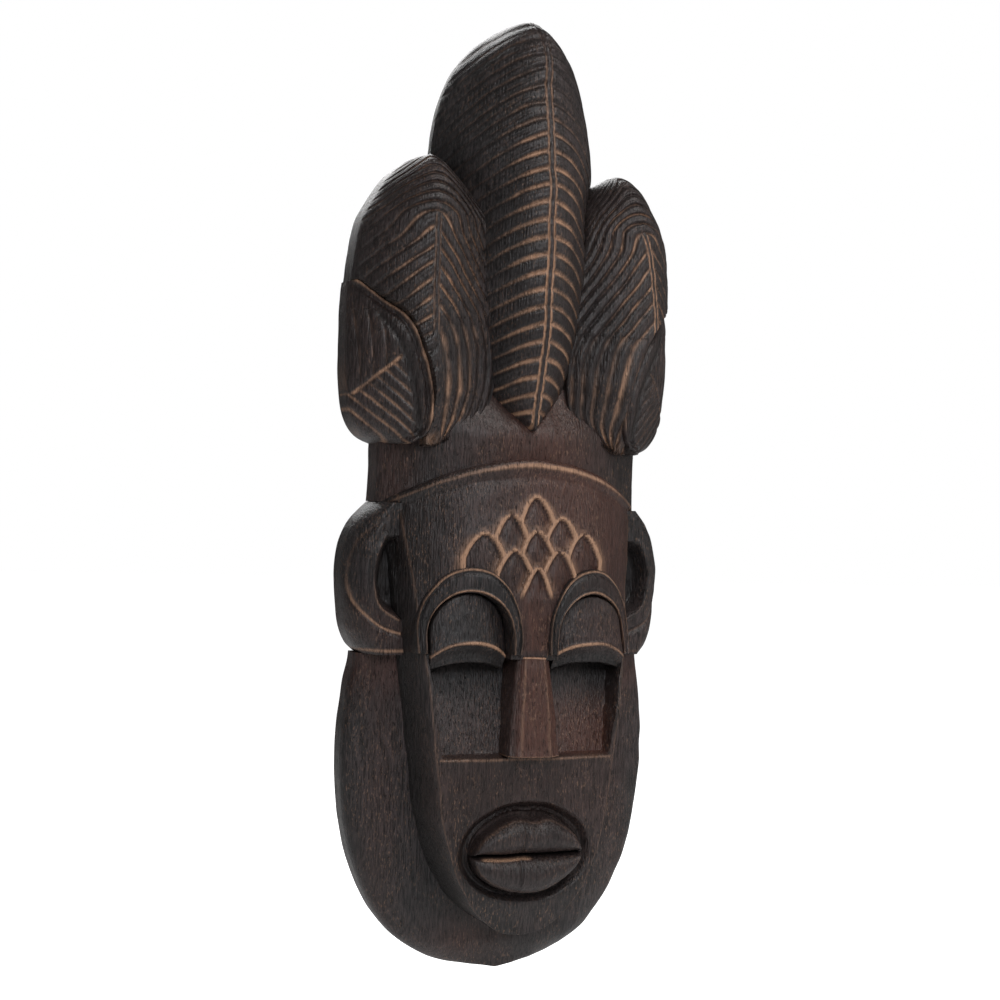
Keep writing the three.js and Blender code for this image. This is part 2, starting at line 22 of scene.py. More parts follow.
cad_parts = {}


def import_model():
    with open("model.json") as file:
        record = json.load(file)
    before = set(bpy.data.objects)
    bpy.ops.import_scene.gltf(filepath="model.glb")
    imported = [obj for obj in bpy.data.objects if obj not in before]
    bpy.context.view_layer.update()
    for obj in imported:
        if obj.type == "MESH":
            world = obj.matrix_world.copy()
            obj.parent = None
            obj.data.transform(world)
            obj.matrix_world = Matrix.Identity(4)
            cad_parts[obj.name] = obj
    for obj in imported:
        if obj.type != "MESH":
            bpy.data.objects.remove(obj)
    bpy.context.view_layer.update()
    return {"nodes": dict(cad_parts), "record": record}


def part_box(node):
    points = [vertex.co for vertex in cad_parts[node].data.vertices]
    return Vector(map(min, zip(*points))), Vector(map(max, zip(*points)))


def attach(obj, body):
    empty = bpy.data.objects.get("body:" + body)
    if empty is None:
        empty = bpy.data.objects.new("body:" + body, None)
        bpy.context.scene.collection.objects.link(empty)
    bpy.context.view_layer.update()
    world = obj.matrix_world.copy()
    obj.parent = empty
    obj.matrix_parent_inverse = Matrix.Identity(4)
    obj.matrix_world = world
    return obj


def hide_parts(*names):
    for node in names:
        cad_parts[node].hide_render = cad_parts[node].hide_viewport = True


LOG = logging.getLogger("mask")
MM = 0.001
Array = np.ndarray
Points = list[tuple[float, float]]


class Hand(Enum):
    """The viewer's side that a paired block lies on."""

    LEFT = -1
    RIGHT = 1

    @property
    def word(self) -> str:
        """The word that starts the names of this side's pieces."""
        return self.name.lower()


class Cut(Enum):
    """Names of the surface attributes that the carving leaves for the finishes: bare wood, painted shade and
    warm colour.
    """

    BARE = "bare"
    PAINTED_SHADE = "painted_shade"
    WARM = "warm"


# ---- number helpers ----


def mix(a: Array | float, b: Array | float, t: Array | float) -> Array | float:
    """Straight blend from a to b."""
    return a + (b - a) * t


def smooth(a: float, b: float, x: Array) -> Array:
    """Eased step from 0 at a to 1 at b."""
    t = np.clip((x - a) / (b - a), 0, 1)
    return t * t * (3 - 2 * t)


def bell(distance: Array, width: float) -> Array:
    """Soft bump, 1 at no distance and near 0 past the width."""
    return np.exp(-((distance / width) ** 2))


def pillow(a: Array) -> Array:
    """Half round: 1 in the middle and 0 at -1 and 1."""
    return np.sqrt(np.clip(1 - a * a, 0, 1))


def vault(a: Array) -> Array:
    """Shallow arch: 1 in the middle and 0 at -1 and 1."""
    return 1 - np.clip(np.abs(a), 0, 1) ** 2


def spread(i: Array, j: Array, seed: float) -> Array:
    """Repeatable scatter value from 0 to 1 for a lattice place."""
    value = np.sin(i * 127.1 + j * 311.7 + seed * 74.7) * 43758.5453
    return value - np.floor(value)


def drift(x: Array, z: Array, period: float, seed: float) -> Array:
    """Smooth wandering value from -1 to 1.

    Args:
        x: Places across.
        z: Places up.
        period: Rough distance between one swell and the next.
        seed: Picks the pattern.

    Returns:
        One value for each place.
    """
    u, v = x / period, z / period
    i, j = np.floor(u), np.floor(v)
    s, t = smooth(0, 1, u - i), smooth(0, 1, v - j)
    low = mix(spread(i, j, seed), spread(i + 1, j, seed), s)
    high = mix(spread(i, j + 1, seed), spread(i + 1, j + 1, seed), s)
    return 2 * mix(low, high, t) - 1


def gouges(x: Array, z: Array, size: float, seed: float) -> Array:
    """Shallow tool cuts side by side: 0 in the middle of a cut and up to 1 on the ridges between."""
    u, v = x / size, z / (1.7 * size)
    nearest = np.full_like(u, 9.0)
    for step_u in (-1, 0, 1):
        for step_v in (-1, 0, 1):
            i, j = np.floor(u) + step_u, np.floor(v) + step_v
            mid_u = i + 0.5 + 0.8 * (spread(i, j, seed) - 0.5)
            mid_v = j + 0.5 + 0.8 * (spread(i, j, seed + 5) - 0.5)
            nearest = np.minimum(nearest, (u - mid_u) ** 2 + (v - mid_v) ** 2)
    return np.clip(nearest * 1.6, 0, 1)


def curve(points: Points, t: Array) -> Array:
    """Smooth line through given points.

    Args:
        points: Places as (x, height).
        t: Positions along the line from 0 to 1.

    Returns:
        One (x, height) row for each position.
    """
    at = np.array(points, float)
    place = np.clip(t, 0, 1) * (len(at) - 1)
    start = np.minimum(place.astype(int), len(at) - 2)
    w = (place - start)[:, None]
    p0, p1 = at[np.maximum(start - 1, 0)], at[start]
    p2, p3 = at[start + 1], at[np.minimum(start + 2, len(at) - 1)]
    v0, v1 = (p2 - p0) / 2, (p3 - p1) / 2
    cubic = 2 * p1 - 2 * p2 + v0 + v1
    square = 3 * p2 - 3 * p1 - 2 * v0 - v1
    return ((cubic * w + square) * w + v0) * w + p1


def x_at(points: Points, height: Array) -> Array:
    """The x of a rising line at each height."""
    line = curve(points, np.linspace(0, 1, 200))
    return np.interp(height, line[:, 1], line[:, 0])


def height_at(points: Points, x: Array) -> Array:
    """The height of a line that runs to the right, at each x."""
    line = curve(points, np.linspace(0, 1, 200))
    return np.interp(x, line[:, 0], line[:, 1])


def away_from(points: Points, x: Array, z: Array, samples: int = 60) -> Array:
    """How far each place is from a smooth line."""
    line = curve(points, np.linspace(0, 1, samples))
    nearest = np.full_like(x, 1e9)
    for (ax, az), (bx, bz) in zip(line[:-1], line[1:]):
        dx, dz = bx - ax, bz - az
        along = np.clip(((x - ax) * dx + (z - az) * dz) / (dx * dx + dz * dz + 1e-9), 0, 1)
        nearest = np.minimum(nearest, (x - ax - along * dx) ** 2 + (z - az - along * dz) ** 2)
    return np.sqrt(nearest)


def mirrored(points: Points) -> Points:
    """The same line on the other side of the middle."""
    return [(-x, z) for x, z in points]


# ---- scene helpers ----


def add_object(name: str, data: bpy.types.ID) -> bpy.types.Object:
    """Puts an object that holds the data into the scene."""
    made = bpy.data.objects.new(name, data)
    bpy.context.scene.collection.objects.link(made)
    return made


def to_mesh(shape: bmesh.types.BMesh, name: str) -> bpy.types.Mesh:
    """Turns a finished shape into a mesh and frees it."""
    mesh = bpy.data.meshes.new(name)
    shape.to_mesh(mesh)
    shape.free()
    return mesh


def settle_order(shape: bmesh.types.BMesh) -> None:
    """Puts edges and faces in the order of their points, which extruding leaves to chance."""
    shape.verts.index_update()
    for parts in (shape.edges, shape.faces):
        for place, part in enumerate(sorted(parts, key=lambda part: [v.index for v in part.verts])):
            part.index = place
        parts.sort()


def points_of(mesh: bpy.types.Mesh) -> Array:
    """The x, y and z of a mesh's points, as three rows."""
    flat = np.empty(len(mesh.vertices) * 3)
    mesh.vertices.foreach_get("co", flat)
    return flat.reshape(-1, 3).T


def move_points(mesh: bpy.types.Mesh, x: Array, y: Array, z: Array) -> None:
    """Puts a mesh's points at new places in metres."""
    mesh.vertices.foreach_set("co", np.stack([x, y, z], axis=1).ravel())


# ---- carving ----


@dataclass
class Spots:
    """Places on a plate: across from -1 to 1, along from 0 to 1, and where that is."""

    across: Array
    along: Array
    x: Array
    z: Array
    rim: Array


@dataclass
class Relief:
    """What the carving does at each spot: its depth, how bare and how warm the wood is there, and how much
    painted shade it gets.
    """

    depth: Array
    bare: Array | float = 0.0
    painted_shade: Array | float = 0.0
    warm: Array | float = 0.0


@dataclass
class Plate:
    """A plate between a left and a right edge line. Its spots may be lifted and its ends softened."""

    left: Points
    right: Points
    lift: Callable[[Array, Array], Array] | None = None
    soft_ends: bool = True

    @classmethod
    def sided(cls, hand: Hand, inner: Points, outer: Points, soft_ends: bool = True) -> Plate:
        """A plate whose inner edge line lies towards the middle of the mask."""
        if hand is Hand.LEFT:
            inner, outer = mirrored(outer), mirrored(inner)
        return cls(inner, outer, soft_ends=soft_ends)

    def spots(self, across: Array, along: Array) -> Spots:
        """Finds where the given plate positions are."""
        a, b = curve(self.left, along), curve(self.right, along)
        at = a + (b - a) * ((across + 1) / 2)[:, None]
        x, z = at[:, 0], at[:, 1]
        if self.lift is not None:
            z = z + self.lift(x, z)
        half = np.hypot(b[:, 0] - a[:, 0], b[:, 1] - a[:, 1]) / 2
        rim = (1 - np.abs(across)) * half
        if self.soft_ends:
            rim = np.minimum(rim, np.minimum(along, 1 - along) * self.length)
        return Spots(across, along, x, z, rim)

    @property
    def length(self) -> float:
        """Length of the longer edge line."""
        ends = [curve(points, np.linspace(0, 1, 80)) for points in (self.left, self.right)]
        return max(float(np.hypot(*np.diff(line, axis=0).T).sum()) for line in ends)

    @property
    def width(self) -> float:
        """Greatest distance between the edge lines."""
        t = np.linspace(0, 1, 80)
        return float(np.hypot(*(curve(self.right, t) - curve(self.left, t)).T).max())


@dataclass
class Bench:
    """Carves plates into closed meshes and puts the pieces into the scene."""

    base: float
    finishes: dict[str, bpy.types.Material]
    crisp_angle: float = 50.0
    wander_x: float = 0.55
    wander_z: float = 0.45

    def carve(
        self,
        name: str,
        plate: Plate,
        front: Callable[[Spots], Relief],
        slot: str,
        back: float = 0.0,
        step: float = 0.8,
        ease: float = 2.5,
        walls: int = 5,
    ) -> bpy.types.Object:
        """Carves one block and finishes it as the piece that stands for its solid.

        Args:
            name: Name of the solid, which the piece's own name is made from.
            plate: Outline of the block.
            front: Gives the relief of its front.
            slot: Material slot that it takes its finish from.
            back: Depth of its flat back.
            step: Distance between neighbouring mesh points.
            ease: Radius of its softened front edge.
            walls: Rows of faces up its side walls.

        Returns:
            The new piece.
        """
        columns, rows = int(plate.width / step), int(plate.length / step)
        grid = bmesh.new()
        bmesh.ops.create_grid(grid, x_segments=columns, y_segments=rows, size=1.0)
        bmesh.ops.translate(grid, verts=grid.verts, vec=(0, 0, 1))
        rim = [edge for edge in grid.edges if edge.is_boundary]
        for _ in range(walls):
            made = bmesh.ops.extrude_edge_only(grid, edges=rim)["geom"]
            lower = [part for part in made if isinstance(part, bmesh.types.BMVert)]
            bmesh.ops.translate(grid, verts=lower, vec=(0, 0, -1 / walls))
            rim = [part for part in made if isinstance(part, bmesh.types.BMEdge) and part.is_boundary]
        bmesh.ops.contextual_create(grid, geom=rim)
        bmesh.ops.recalc_face_normals(grid, faces=grid.faces)
        settle_order(grid)
        mesh = to_mesh(grid, name + "_carved")
        self.shape(mesh, plate, front, back, ease)
        mesh.shade_smooth()
        mesh.set_sharp_from_angle(angle=math.radians(self.crisp_angle))
        return self.place(mesh, name, slot)

    def shape(
        self, mesh: bpy.types.Mesh, plate: Plate, front: Callable[[Spots], Relief], back: float, ease: float,
    ) -> None:
        """Moves a flat box's points to their carved places and notes how bare and warm the wood is and where
        shade is painted.

        Args:
            mesh: The flat box, two units wide and long and one high.
            plate: Outline of the block.
            front: Gives the relief of its front.
            back: Depth of its flat back.
            ease: Radius of its softened front edge.
        """
        across, along, up = points_of(mesh)
        spots = plate.spots(np.clip(across, -1, 1), np.clip((along + 1) / 2, 0, 1))
        relief = front(spots)
        soft = np.clip(1 - spots.rim / ease, 0, 1)
        depth = relief.depth - ease * (1 - np.sqrt(1 - soft**2))
        depth = mix(back, np.maximum(depth, back + 1), np.clip(up, 0, 1))
        x = spots.x + self.wander_x * drift(spots.x, spots.z + 0.4 * depth, 12, 3)
        z = spots.z + self.wander_z * drift(spots.x + 0.4 * depth, spots.z, 13, 8)
        move_points(mesh, x * MM, -depth * MM, self.base + z * MM)
        # The rim of the back is never rubbed bare.
        bare = relief.bare * np.clip(up * 5, 0, 1)
        for cut, values in ((Cut.BARE, bare), (Cut.PAINTED_SHADE, relief.painted_shade), (Cut.WARM, relief.warm)):
            layer = mesh.attributes.new(cut.value, "FLOAT", "POINT")
            level = np.clip(np.broadcast_to(values, x.shape), 0, 1)
            layer.data.foreach_set("value", level.astype(np.float32))
        mesh.update()

    def cut(self, block: bpy.types.Object, tool: bpy.types.Mesh) -> None:
        """Takes the space of a closed mesh out of a carved block.

        Args:
            block: The carved block.
            tool: The closed mesh, which is used up.
        """
        cutter = add_object("cutter", tool)
        step = block.modifiers.new("cut", "BOOLEAN")
        step.object, step.operation, step.solver = cutter, "DIFFERENCE", "EXACT"
        bpy.context.view_layer.update()
        graph = bpy.context.evaluated_depsgraph_get()
        carved = bpy.data.meshes.new_from_object(block.evaluated_get(graph))
        block.modifiers.clear()
        block.data = carved
        bpy.data.objects.remove(cutter)

    def place(self, mesh: bpy.types.Mesh, node: str, slot: str) -> bpy.types.Object:
        """Puts a finished mesh into the scene as the piece that stands for a solid."""
        mesh.materials.append(self.finishes[slot])
        piece = add_object(node + "_carved", mesh)
        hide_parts(node)
        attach(piece, "mask")
        LOG.info("%s: %d points", piece.name, len(mesh.vertices))
        return piece


# ---- the blocks ----


@dataclass
class Face:
    """The face block with its forehead scales, sunken cheeks and muzzle, and the nose let into it."""

    chin: float = 30.0
    brow: float = 250.0
    brow_drop: float = 30.0
    half_top: float = 88.5
    half_mouth: float = 64.0
    edge: Points = field(default_factory=lambda: [
        (2, 30), (18, 34), (35, 47), (49.5, 70), (59, 98), (64, 130), (69, 165), (74, 200),
        (78, 232), (81.5, 255), (88.5, 290),
    ])
    scale_tips: Points = field(default_factory=lambda: [
        (0, 297.3), (-16.7, 286), (16.7, 285.2), (0, 276.5), (-33, 274.5), (32.4, 275), (-14.6, 264.9),
        (14.6, 264.5), (0, 254.5),
    ])
    scale_half: float = 12.8
    scale_tall: float = 15.5
    nose_bottom: float = 140.0
    nose_top: float = 200.0
    nose_half_bottom: float = 17.0
    nose_half_top: float = 10.3
    cheek_bottom: float = 138.0
    arc_foot: float = 290.0
    length: float = 264.0
    lip_middle: float = 80.5
    lip_ring_half: float = 38.5
    lip_ring_depth: float = 6.5
    eye_centre: float = 40.0
    eye_springing: float = 212.0
    socket_half: float = 29.5
    socket_rise: float = 39.0
    socket_foot: float = 201.4
    socket_depth: float = 47.0
    hollow_half_width: float = 46.0
    hollow_half_height: float = 105.0
    hollow_middle: float = 171.0
    hollow_depth: float = 40.0

    def arc(self, x: Array, z: Array) -> Array:
        """How far the forehead's arc lifts a spot."""
        rise = np.clip((z - self.brow) / (self.arc_foot - self.brow), 0, 1)
        return self.brow_drop * np.clip(1 - (x / self.half_top) ** 2, 0, 1) * rise

    def shoulder(self, z: Array) -> Array:
        """Depth of the face's side edge."""
        return mix(64.0, 24.0, smooth(150, 290, z)) - 8 * smooth(self.chin + 40, self.chin, z)

    def plain(self, x: Array, z: Array) -> Array:
        """Depth of the face before anything is cut into it."""
        middle = mix(69.0, 72.0, smooth(150, 220, z)) - 4 * smooth(60, self.chin, z)
        middle = middle - 7 * smooth(self.brow, 320, z)
        half = mix(self.half_mouth, self.half_top, smooth(90, self.arc_foot, z))
        return middle - (middle - self.shoulder(z)) * np.clip(np.abs(x) / half, 0, 1) ** 2.6

    def nose_half(self, z: Array) -> Array:
        """Half width of the nose at each height."""
        t = np.clip((z - self.nose_bottom) / (self.nose_top - self.nose_bottom), 0, 1)
        return mix(self.nose_half_bottom, self.nose_half_top, t)

    def scales(self, x: Array, z: Array) -> tuple[Array, Array]:
        """Overlapping pointed scales on the forehead.

        Args:
            x: Places across.
            z: Places up.

        Returns:
            How far each spot is raised, and how bare it is.
        """
        raised, bare = np.zeros_like(x), np.zeros_like(x)
        halo = np.zeros_like(x)
        for order, (tip_x, tip_z) in enumerate(self.scale_tips):
            down = tip_z - z
            tall = self.scale_tall * (1.6 if order == len(self.scale_tips) - 1 else 1)
            half = self.scale_half * (1.12 if abs(tip_x) > 20 else 1)
            reach = half * np.clip(down / tall, 0, 1) ** 0.45
            inside = (reach - np.abs(x - tip_x)) * 0.85
            within = (down > -3) & (down < 34)
            rim = bell(np.clip(inside - 1.0, None, 0), 1.0) * bell(np.clip(inside - 2.0, 0, None), 0.9)
            rim = rim * within * (down > -1.5)
            covers = within & (inside > 0) & (down > 0)
            floor = -2.1 * smooth(2.0, 4.0, inside) + 1.1 * smooth(4, 9, inside)
            raised = np.where(covers, floor, raised)
            bare = np.where(covers, 0.0, bare)
            raised = np.maximum(raised, 0.9 * rim + raised * (1 - rim))
            bare = np.maximum(bare, rim)
            halo = np.where(covers, 0.0, np.maximum(halo, within * bell(np.clip(-inside, 0, None), 4.0)))
        return raised, np.maximum(bare, 0.34 * halo)

    def front(self, s: Spots) -> Relief:
        """Relief of the face block."""
        x, z, side = s.x, s.z, np.abs(s.x)
        depth = self.plain(x, z)
        # The cheeks are sunk between the nose and a rim, deepest under the eyelids.
        t = np.clip((z - self.cheek_bottom) / 60, 0, 1)
        sunk = mix(62.0, self.socket_depth, t) - 5 * (side / 74) ** 2
        outer = mix(55.0, 65.0, np.clip((z - self.cheek_bottom) / 62, 0, 1))
        inset = np.minimum(outer - side, z - self.cheek_bottom + 0.4 * drift(x, z, 9, 2))
        under_lid = np.abs(side - self.eye_centre) < 24
        in_cheek = smooth(0, 2.4, inset) * (z < np.where(under_lid, 203, 198))
        in_cheek = in_cheek * (side > self.nose_half(z) - 3)
        # The brows and eyelids stand in arched sockets.
        rise = np.clip(z - self.eye_springing, 0, None) / self.socket_rise
        arch = ((side - self.eye_centre) / self.socket_half) ** 2 + rise**2
        socket = (arch < 1) & (z > self.socket_foot)
        depth = mix(depth, np.minimum(depth, sunk), in_cheek)
        depth = np.where(socket, self.socket_depth, depth)
        # A ring is cut round the lips.
        above_lip = z - self.lip_middle
        lip_reach = np.hypot(x / self.lip_ring_half, above_lip / np.where(above_lip > 0, 27.5, 26.5))
        ring = bell(lip_reach - 1.0, 0.09)
        pool = smooth(1.04, 0.9, lip_reach)
        depth = depth - self.lip_ring_depth * np.maximum(ring, pool)
        raised, bare = self.scales(x, z)
        on_brow = smooth(198, 206, z)
        fade = smooth(232, 243, z)
        depth = depth + raised * fade
        bare = bare * fade
        # A bead runs along the forehead's arc.
        to_arc = (1 - s.along) * self.length
        bead = bell(to_arc - 3.0, 1.7)
        depth = depth + 1.3 * bead - 1.1 * bell(to_arc - 6.4, 1.4)
        glow = bell(x - 14, 46)
        bare = np.maximum(bare, bell(to_arc - 2.6, 1.0) * mix(0.3, 0.8, glow))
        # The side walls lean out to the collar.
        wall = smooth(0.9, 1.0, np.abs(s.across))
        depth = mix(depth, np.minimum(34.0, self.shoulder(z)), wall)
        crease = bell(z - self.cheek_bottom + 0.5, 1.1) * (side < 57) * (1 - wall)
        edge = bell(np.abs(s.across) - 0.895, 0.012) * 0.25
        bare = np.maximum(bare, np.maximum(0.38 * crease, edge))
        depth = depth + 0.45 * gouges(x, z, 9, 1) * (1 - in_cheek)
        # Painted shade under the eyelids in the sunken cheeks and in the ring round the lips.
        low = np.maximum(0.75 * in_cheek * smooth(165, 198, z), 0.4 * ring)
        forehead_red = bell(x - 30, 55) * smooth(190, 260, z)
        cheek_red = in_cheek * smooth(10, 30, x) * smooth(192, 150, z)
        warm = np.maximum(0.75 * forehead_red, 0.6 * cheek_red) + 0.2 * bell(z - 120, 40)
        warm = np.maximum(warm, 0.75 * on_brow * bell(x, 13) * smooth(262, 240, z))
        # Painted shade on the face's side walls, heavier on the left wall.
        painted_shade = np.maximum(low, 0.6 * wall * (x < 0) + 0.3 * wall)
        return Relief(depth, bare, painted_shade, warm * (1 - wall))

    def nose(self, s: Spots) -> Relief:
        """Relief of the nose: a flat wedge with a worn front and faceted sides."""
        side = np.abs(s.across)
        depth = mix(80.0, 72.0, s.along) - 3.5 * smooth(0.55, 1.0, side) + 0.3 * gouges(s.x, s.z, 6, 4)
        top = bell((1 - s.along) * 60 - 1.6, 1.0)
        bottom = bell(s.along * 60 - 0.8, 0.9)
        worn = bell(side - 0.58, 0.09) * 0.3
        bare = np.maximum(np.maximum(0.75 * top, 0.4 * bottom), worn)
        # The nose is warm red, less on its left wall, which paints shade on that wall.
        return Relief(depth + 0.6 * top, bare, 0.0, 0.8 * (1 - 0.7 * smooth(0.6, 1, -s.across)))

    def build(self, bench: Bench) -> None:
        """Carves the face block and the nose."""
        plate = Plate(mirrored(self.edge), self.edge, self.arc)
        block = bench.carve(
            "face_block", plate, self.front, "red_stained_wood", step=0.78, ease=2.0, walls=4,
        )
        bench.cut(block, self.scoop(bench.base))
        half_low, half_high = self.nose_half_bottom, self.nose_half_top
        nose = Plate(
            [(-half_low, self.nose_bottom), (-half_high, self.nose_top)],
            [(half_low, self.nose_bottom), (half_high, self.nose_top)],
        )
        bench.carve("nose", nose, self.nose, "red_stained_wood", back=46.3, step=0.6, ease=1.2)

    def scoop(self, base: float, grow: float = 0.0) -> bpy.types.Mesh:
        """Makes the space that is scooped out behind the face, with its tool marks.

        Args:
            base: Height of the collar's lowest point in metres.
            grow: Extra size all round in millimetres.

        Returns:
            A closed mesh that reaches past the back.
        """
        bowl = bmesh.new()
        bmesh.ops.create_icosphere(bowl, subdivisions=5, radius=1.0)
        mesh = to_mesh(bowl, "face_scoop")
        x, y, z = points_of(mesh)
        x = (self.hollow_half_width + grow) * x
        z = self.hollow_middle + (self.hollow_half_height + grow) * z
        y = (self.hollow_depth + grow) * y * (1 - 0.05 * gouges(x, z, 9, 12))
        move_points(mesh, x * MM, y * MM, base + z * MM)
        return mesh


@dataclass
class Mouth:
    """The two full lips."""

    bottom: float = 56.0
    parting: float = 80.0
    top: float = 105.0
    half_width: float = 36.0

    def bow(self, x: Array) -> Array:
        """How full the mouth is at each place across."""
        return np.sqrt(np.clip(1 - (x / self.half_width) ** 2, 0, 1))

    def plate(self, upper: bool) -> Plate:
        """Outline of one lip, between its outer line and the parting line."""
        x = np.linspace(-self.half_width, self.half_width, 17)
        reach = self.top - self.parting if upper else self.parting - self.bottom
        dip = 3.4 * bell(x - 3, 7) + 1.5 * smooth(0, -14, x) if upper else 0 * x
        rise = 1.8 + (reach - 2) * self.bow(x) ** 1.3 - dip
        edge = list(zip(x, self.parting + (rise if upper else -rise)))
        seam = list(zip(x, self.parting + (0.15 if upper else -0.15) + 0 * x))
        return Plate(edge, seam) if upper else Plate(seam, edge)

    def front(self, s: Spots) -> Relief:
        """Relief of a lip: round from its outer line to the parting, with a crease down its middle."""
        depth = 66 + 13 * pillow(s.across * 0.96) * (0.35 + 0.65 * self.bow(s.x))
        crease = bell(s.x + 5 - 0.1 * (s.z - self.parting), 1.2)
        parting = bell(s.z - self.parting, 1.4)
        depth = depth - 1.1 * crease - 1.5 * parting + 0.4 * gouges(s.x, s.z, 5, 9)
        rim = bell(s.rim - 1.8, 1.1) * (np.abs(s.z - self.parting) > 4)
        seam = bell(s.z - self.parting + 1.8, 0.9) * smooth(6, -2, s.x) * smooth(-33, -27, s.x)
        bare = np.maximum(0.22 * rim, 0.75 * seam)
        # Painted shade in the parting and along the middle crease.
        return Relief(depth, bare, np.maximum(0.8 * parting, 0.3 * crease), 0.12)

    def build(self, bench: Bench) -> None:
        """Carves both lips."""
        for node, upper in (("upper_lip", True), ("lower_lip", False)):
            bench.carve(
                node, self.plate(upper), self.front, "dark_stained_wood", back=56.3, step=0.55, ease=2.2,
            )


@dataclass
class Eye:
    """One brow arch and the closed eyelid that fills it."""

    hand: Hand
    centre: float = 40.0
    springing: float = 212.0
    foot: float = 201.0
    rise: float = 42.0
    half_width: float = 31.5
    band_top: float = 16.0
    band_side: float = 7.0
    clearance: float = 0.6
    lid_foot: float = 191.0
    lid_arch: float = 5.0

    def arch(self, half: float, rise: float) -> Points:
        """A round arch from its left foot to its right foot, without straight legs."""
        middle = self.hand.value * self.centre
        turns = [math.pi * (1 - i / 8) for i in range(9)]
        return [(middle + half * math.cos(a), self.springing + rise * math.sin(a)) for a in turns]

    def legged(self, half: float, rise: float) -> Points:
        """The same arch standing on two short legs."""
        arch = self.arch(half, rise)
        return [(arch[0][0], self.foot), *arch, (arch[-1][0], self.foot)]

    def brow(self, face: Face) -> Callable[[Spots], Relief]:
        """Relief of the brow: a band between two raised lines."""

        def front(s: Spots) -> Relief:
            """Band, outer line and inner line of the brow."""
            depth = face.plain(s.x, s.z) + 0.4 + 2.2 * pillow(s.across * 0.97)
            wide = 7 + 9 * np.sin(np.pi * np.clip(s.along, 0, 1))
            from_outer, from_inner = (1 + s.across) / 2 * wide, (1 - s.across) / 2 * wide
            lines = np.maximum(bell(from_outer - 1.6, 0.8), bell(from_inner - 1.5, 0.8))
            grooves = np.maximum(bell(from_outer - 3.4, 1.0), 0.4 * bell(from_inner - 3.2, 0.9))
            depth = depth + 0.8 * lines - 0.8 * grooves + 0.3 * gouges(s.x, s.z, 5, 6)
            crown = smooth(0.12, 0.4, s.along) * smooth(0.95, 0.6, s.along)
            bare = lines * (0.3 + 0.35 * crown)
            # Painted shade in the grooves.
            return Relief(depth, bare, 0.3 * grooves, 0.25 * smooth(10, 60, s.x))

        return front

    def lid(self, s: Spots) -> Relief:
        """Relief of the eyelid: a dome that ends in a lash line with a lip turned under."""
        middle = self.hand.value * self.centre
        reach = np.clip(np.abs(s.x - middle) / (self.half_width - self.band_side), 0, 1)
        depth = mix(71.0, 65.0, (1 - s.across) / 2) - 6 * reach**2
        above = s.z - (self.lid_foot + 7.5 + 9.5 * (1 - reach**2) ** 0.8)
        lash = bell(above, 1.1)
        under = smooth(0.5, -9, above)
        depth = depth + 1.1 * lash - 6.5 * under + 0.35 * gouges(s.x, s.z, 6, 7)
        worn = 0.55 + 0.45 * smooth(-0.6, 0.4, (s.x - middle) / 20 * -self.hand.value)
        # Painted shade under the lash line and along the lid's edge above it.
        low = 0.5 * under + 0.5 * bell(s.rim, 2.4) * (above > 6)
        return Relief(depth, lash * worn, low, 0.3 * smooth(0, 50, s.x) * (1 - under))

    def build(self, bench: Bench, face: Face) -> None:
        """Carves the brow and the eyelid."""
        word = self.hand.word
        inner_half, inner_rise = self.half_width - self.band_side, self.rise - self.band_top
        band = Plate(self.legged(self.half_width, self.rise), self.legged(inner_half, inner_rise))
        bench.carve(f"{word}_brow", band, self.brow(face), "dark_stained_wood", back=43.3, step=0.5, ease=1.4)
        top = self.arch(inner_half - self.clearance, inner_rise - self.clearance)
        lift = [self.lid_arch * math.sin(math.pi * i / 8) ** 2 for i in range(len(top))]
        foot = [(x, self.lid_foot + rise) for (x, _), rise in zip(top, lift)]
        lid = Plate(top, foot)
        bench.carve(f"{word}_eyelid", lid, self.lid, "dark_stained_wood", back=43.3, step=0.5, ease=1.6)


@dataclass
class Ear:
    """One ear: a thick crescent with a cup scooped out of it."""

    hand: Hand
    inner: Points = field(default_factory=lambda: [(70, 198), (70, 230), (70, 264), (70, 291)])
    outer: Points = field(default_factory=lambda: [
        (94, 198), (99.5, 204), (104, 214), (106.5, 230), (107.5, 248), (105.5, 266), (99, 280), (88, 291),
    ])
    groove: Points = field(default_factory=lambda: [
        (90, 279), (101, 267), (105.5, 248), (102.5, 231), (91, 217.5), (73, 210.5),
    ])
    cup: Points = field(default_factory=lambda: [
        (86, 271), (91.5, 258), (93, 243), (88.5, 228), (76, 219.5),
    ])

    def front(self, s: Spots) -> Relief:
        """Relief of the ear: two rings round a cup sunk well into it, with painted shade in the cup."""
        x = np.abs(s.x)
        outward = (1 + self.hand.value * s.across) / 2
        depth = mix(37.0, 19.0, np.clip(2.5 * outward - 1.5, 0, 1) ** 2)
        ring = away_from(self.groove, x, s.z)
        lip = away_from(self.cup, x, s.z)
        inside = (x < x_at(self.cup[::-1], s.z)) & (s.z > 220) & (s.z < 271)
        cup = np.where(inside, smooth(0, 7, lip), 0) * smooth(272, 264, s.z)
        depth = depth - 1.6 * bell(ring, 1.7) + 0.9 * bell(lip, 1.5) - 11 * cup
        depth = depth + 0.5 * gouges(x, s.z, 7, 15)
        strong = 1.0 if self.hand is Hand.LEFT else 0.45
        fade = 0.35 + 0.65 * smooth(250, 225, s.z)
        bare = strong * np.maximum(0.6 * bell(ring, 1.0) * fade, 0.4 * bell(lip, 1.0) * fade)
        seam = bell(s.z - 200.5, 1.4) * smooth(104, 92, x)
        bare = np.maximum(bare, 0.5 * strong * seam)
        # Painted shade in the cup.
        return Relief(depth, bare, 0.8 * cup, 0.25 * strong * bell(s.z - 215, 22))

    def build(self, bench: Bench) -> None:
        """Carves the ear."""
        plate = Plate.sided(self.hand, self.inner, self.outer, soft_ends=False)
        bench.carve(
            f"{self.hand.word}_ear", plate, self.front, "dark_stained_wood", back=0.5, step=0.6, ease=3.0,
        )


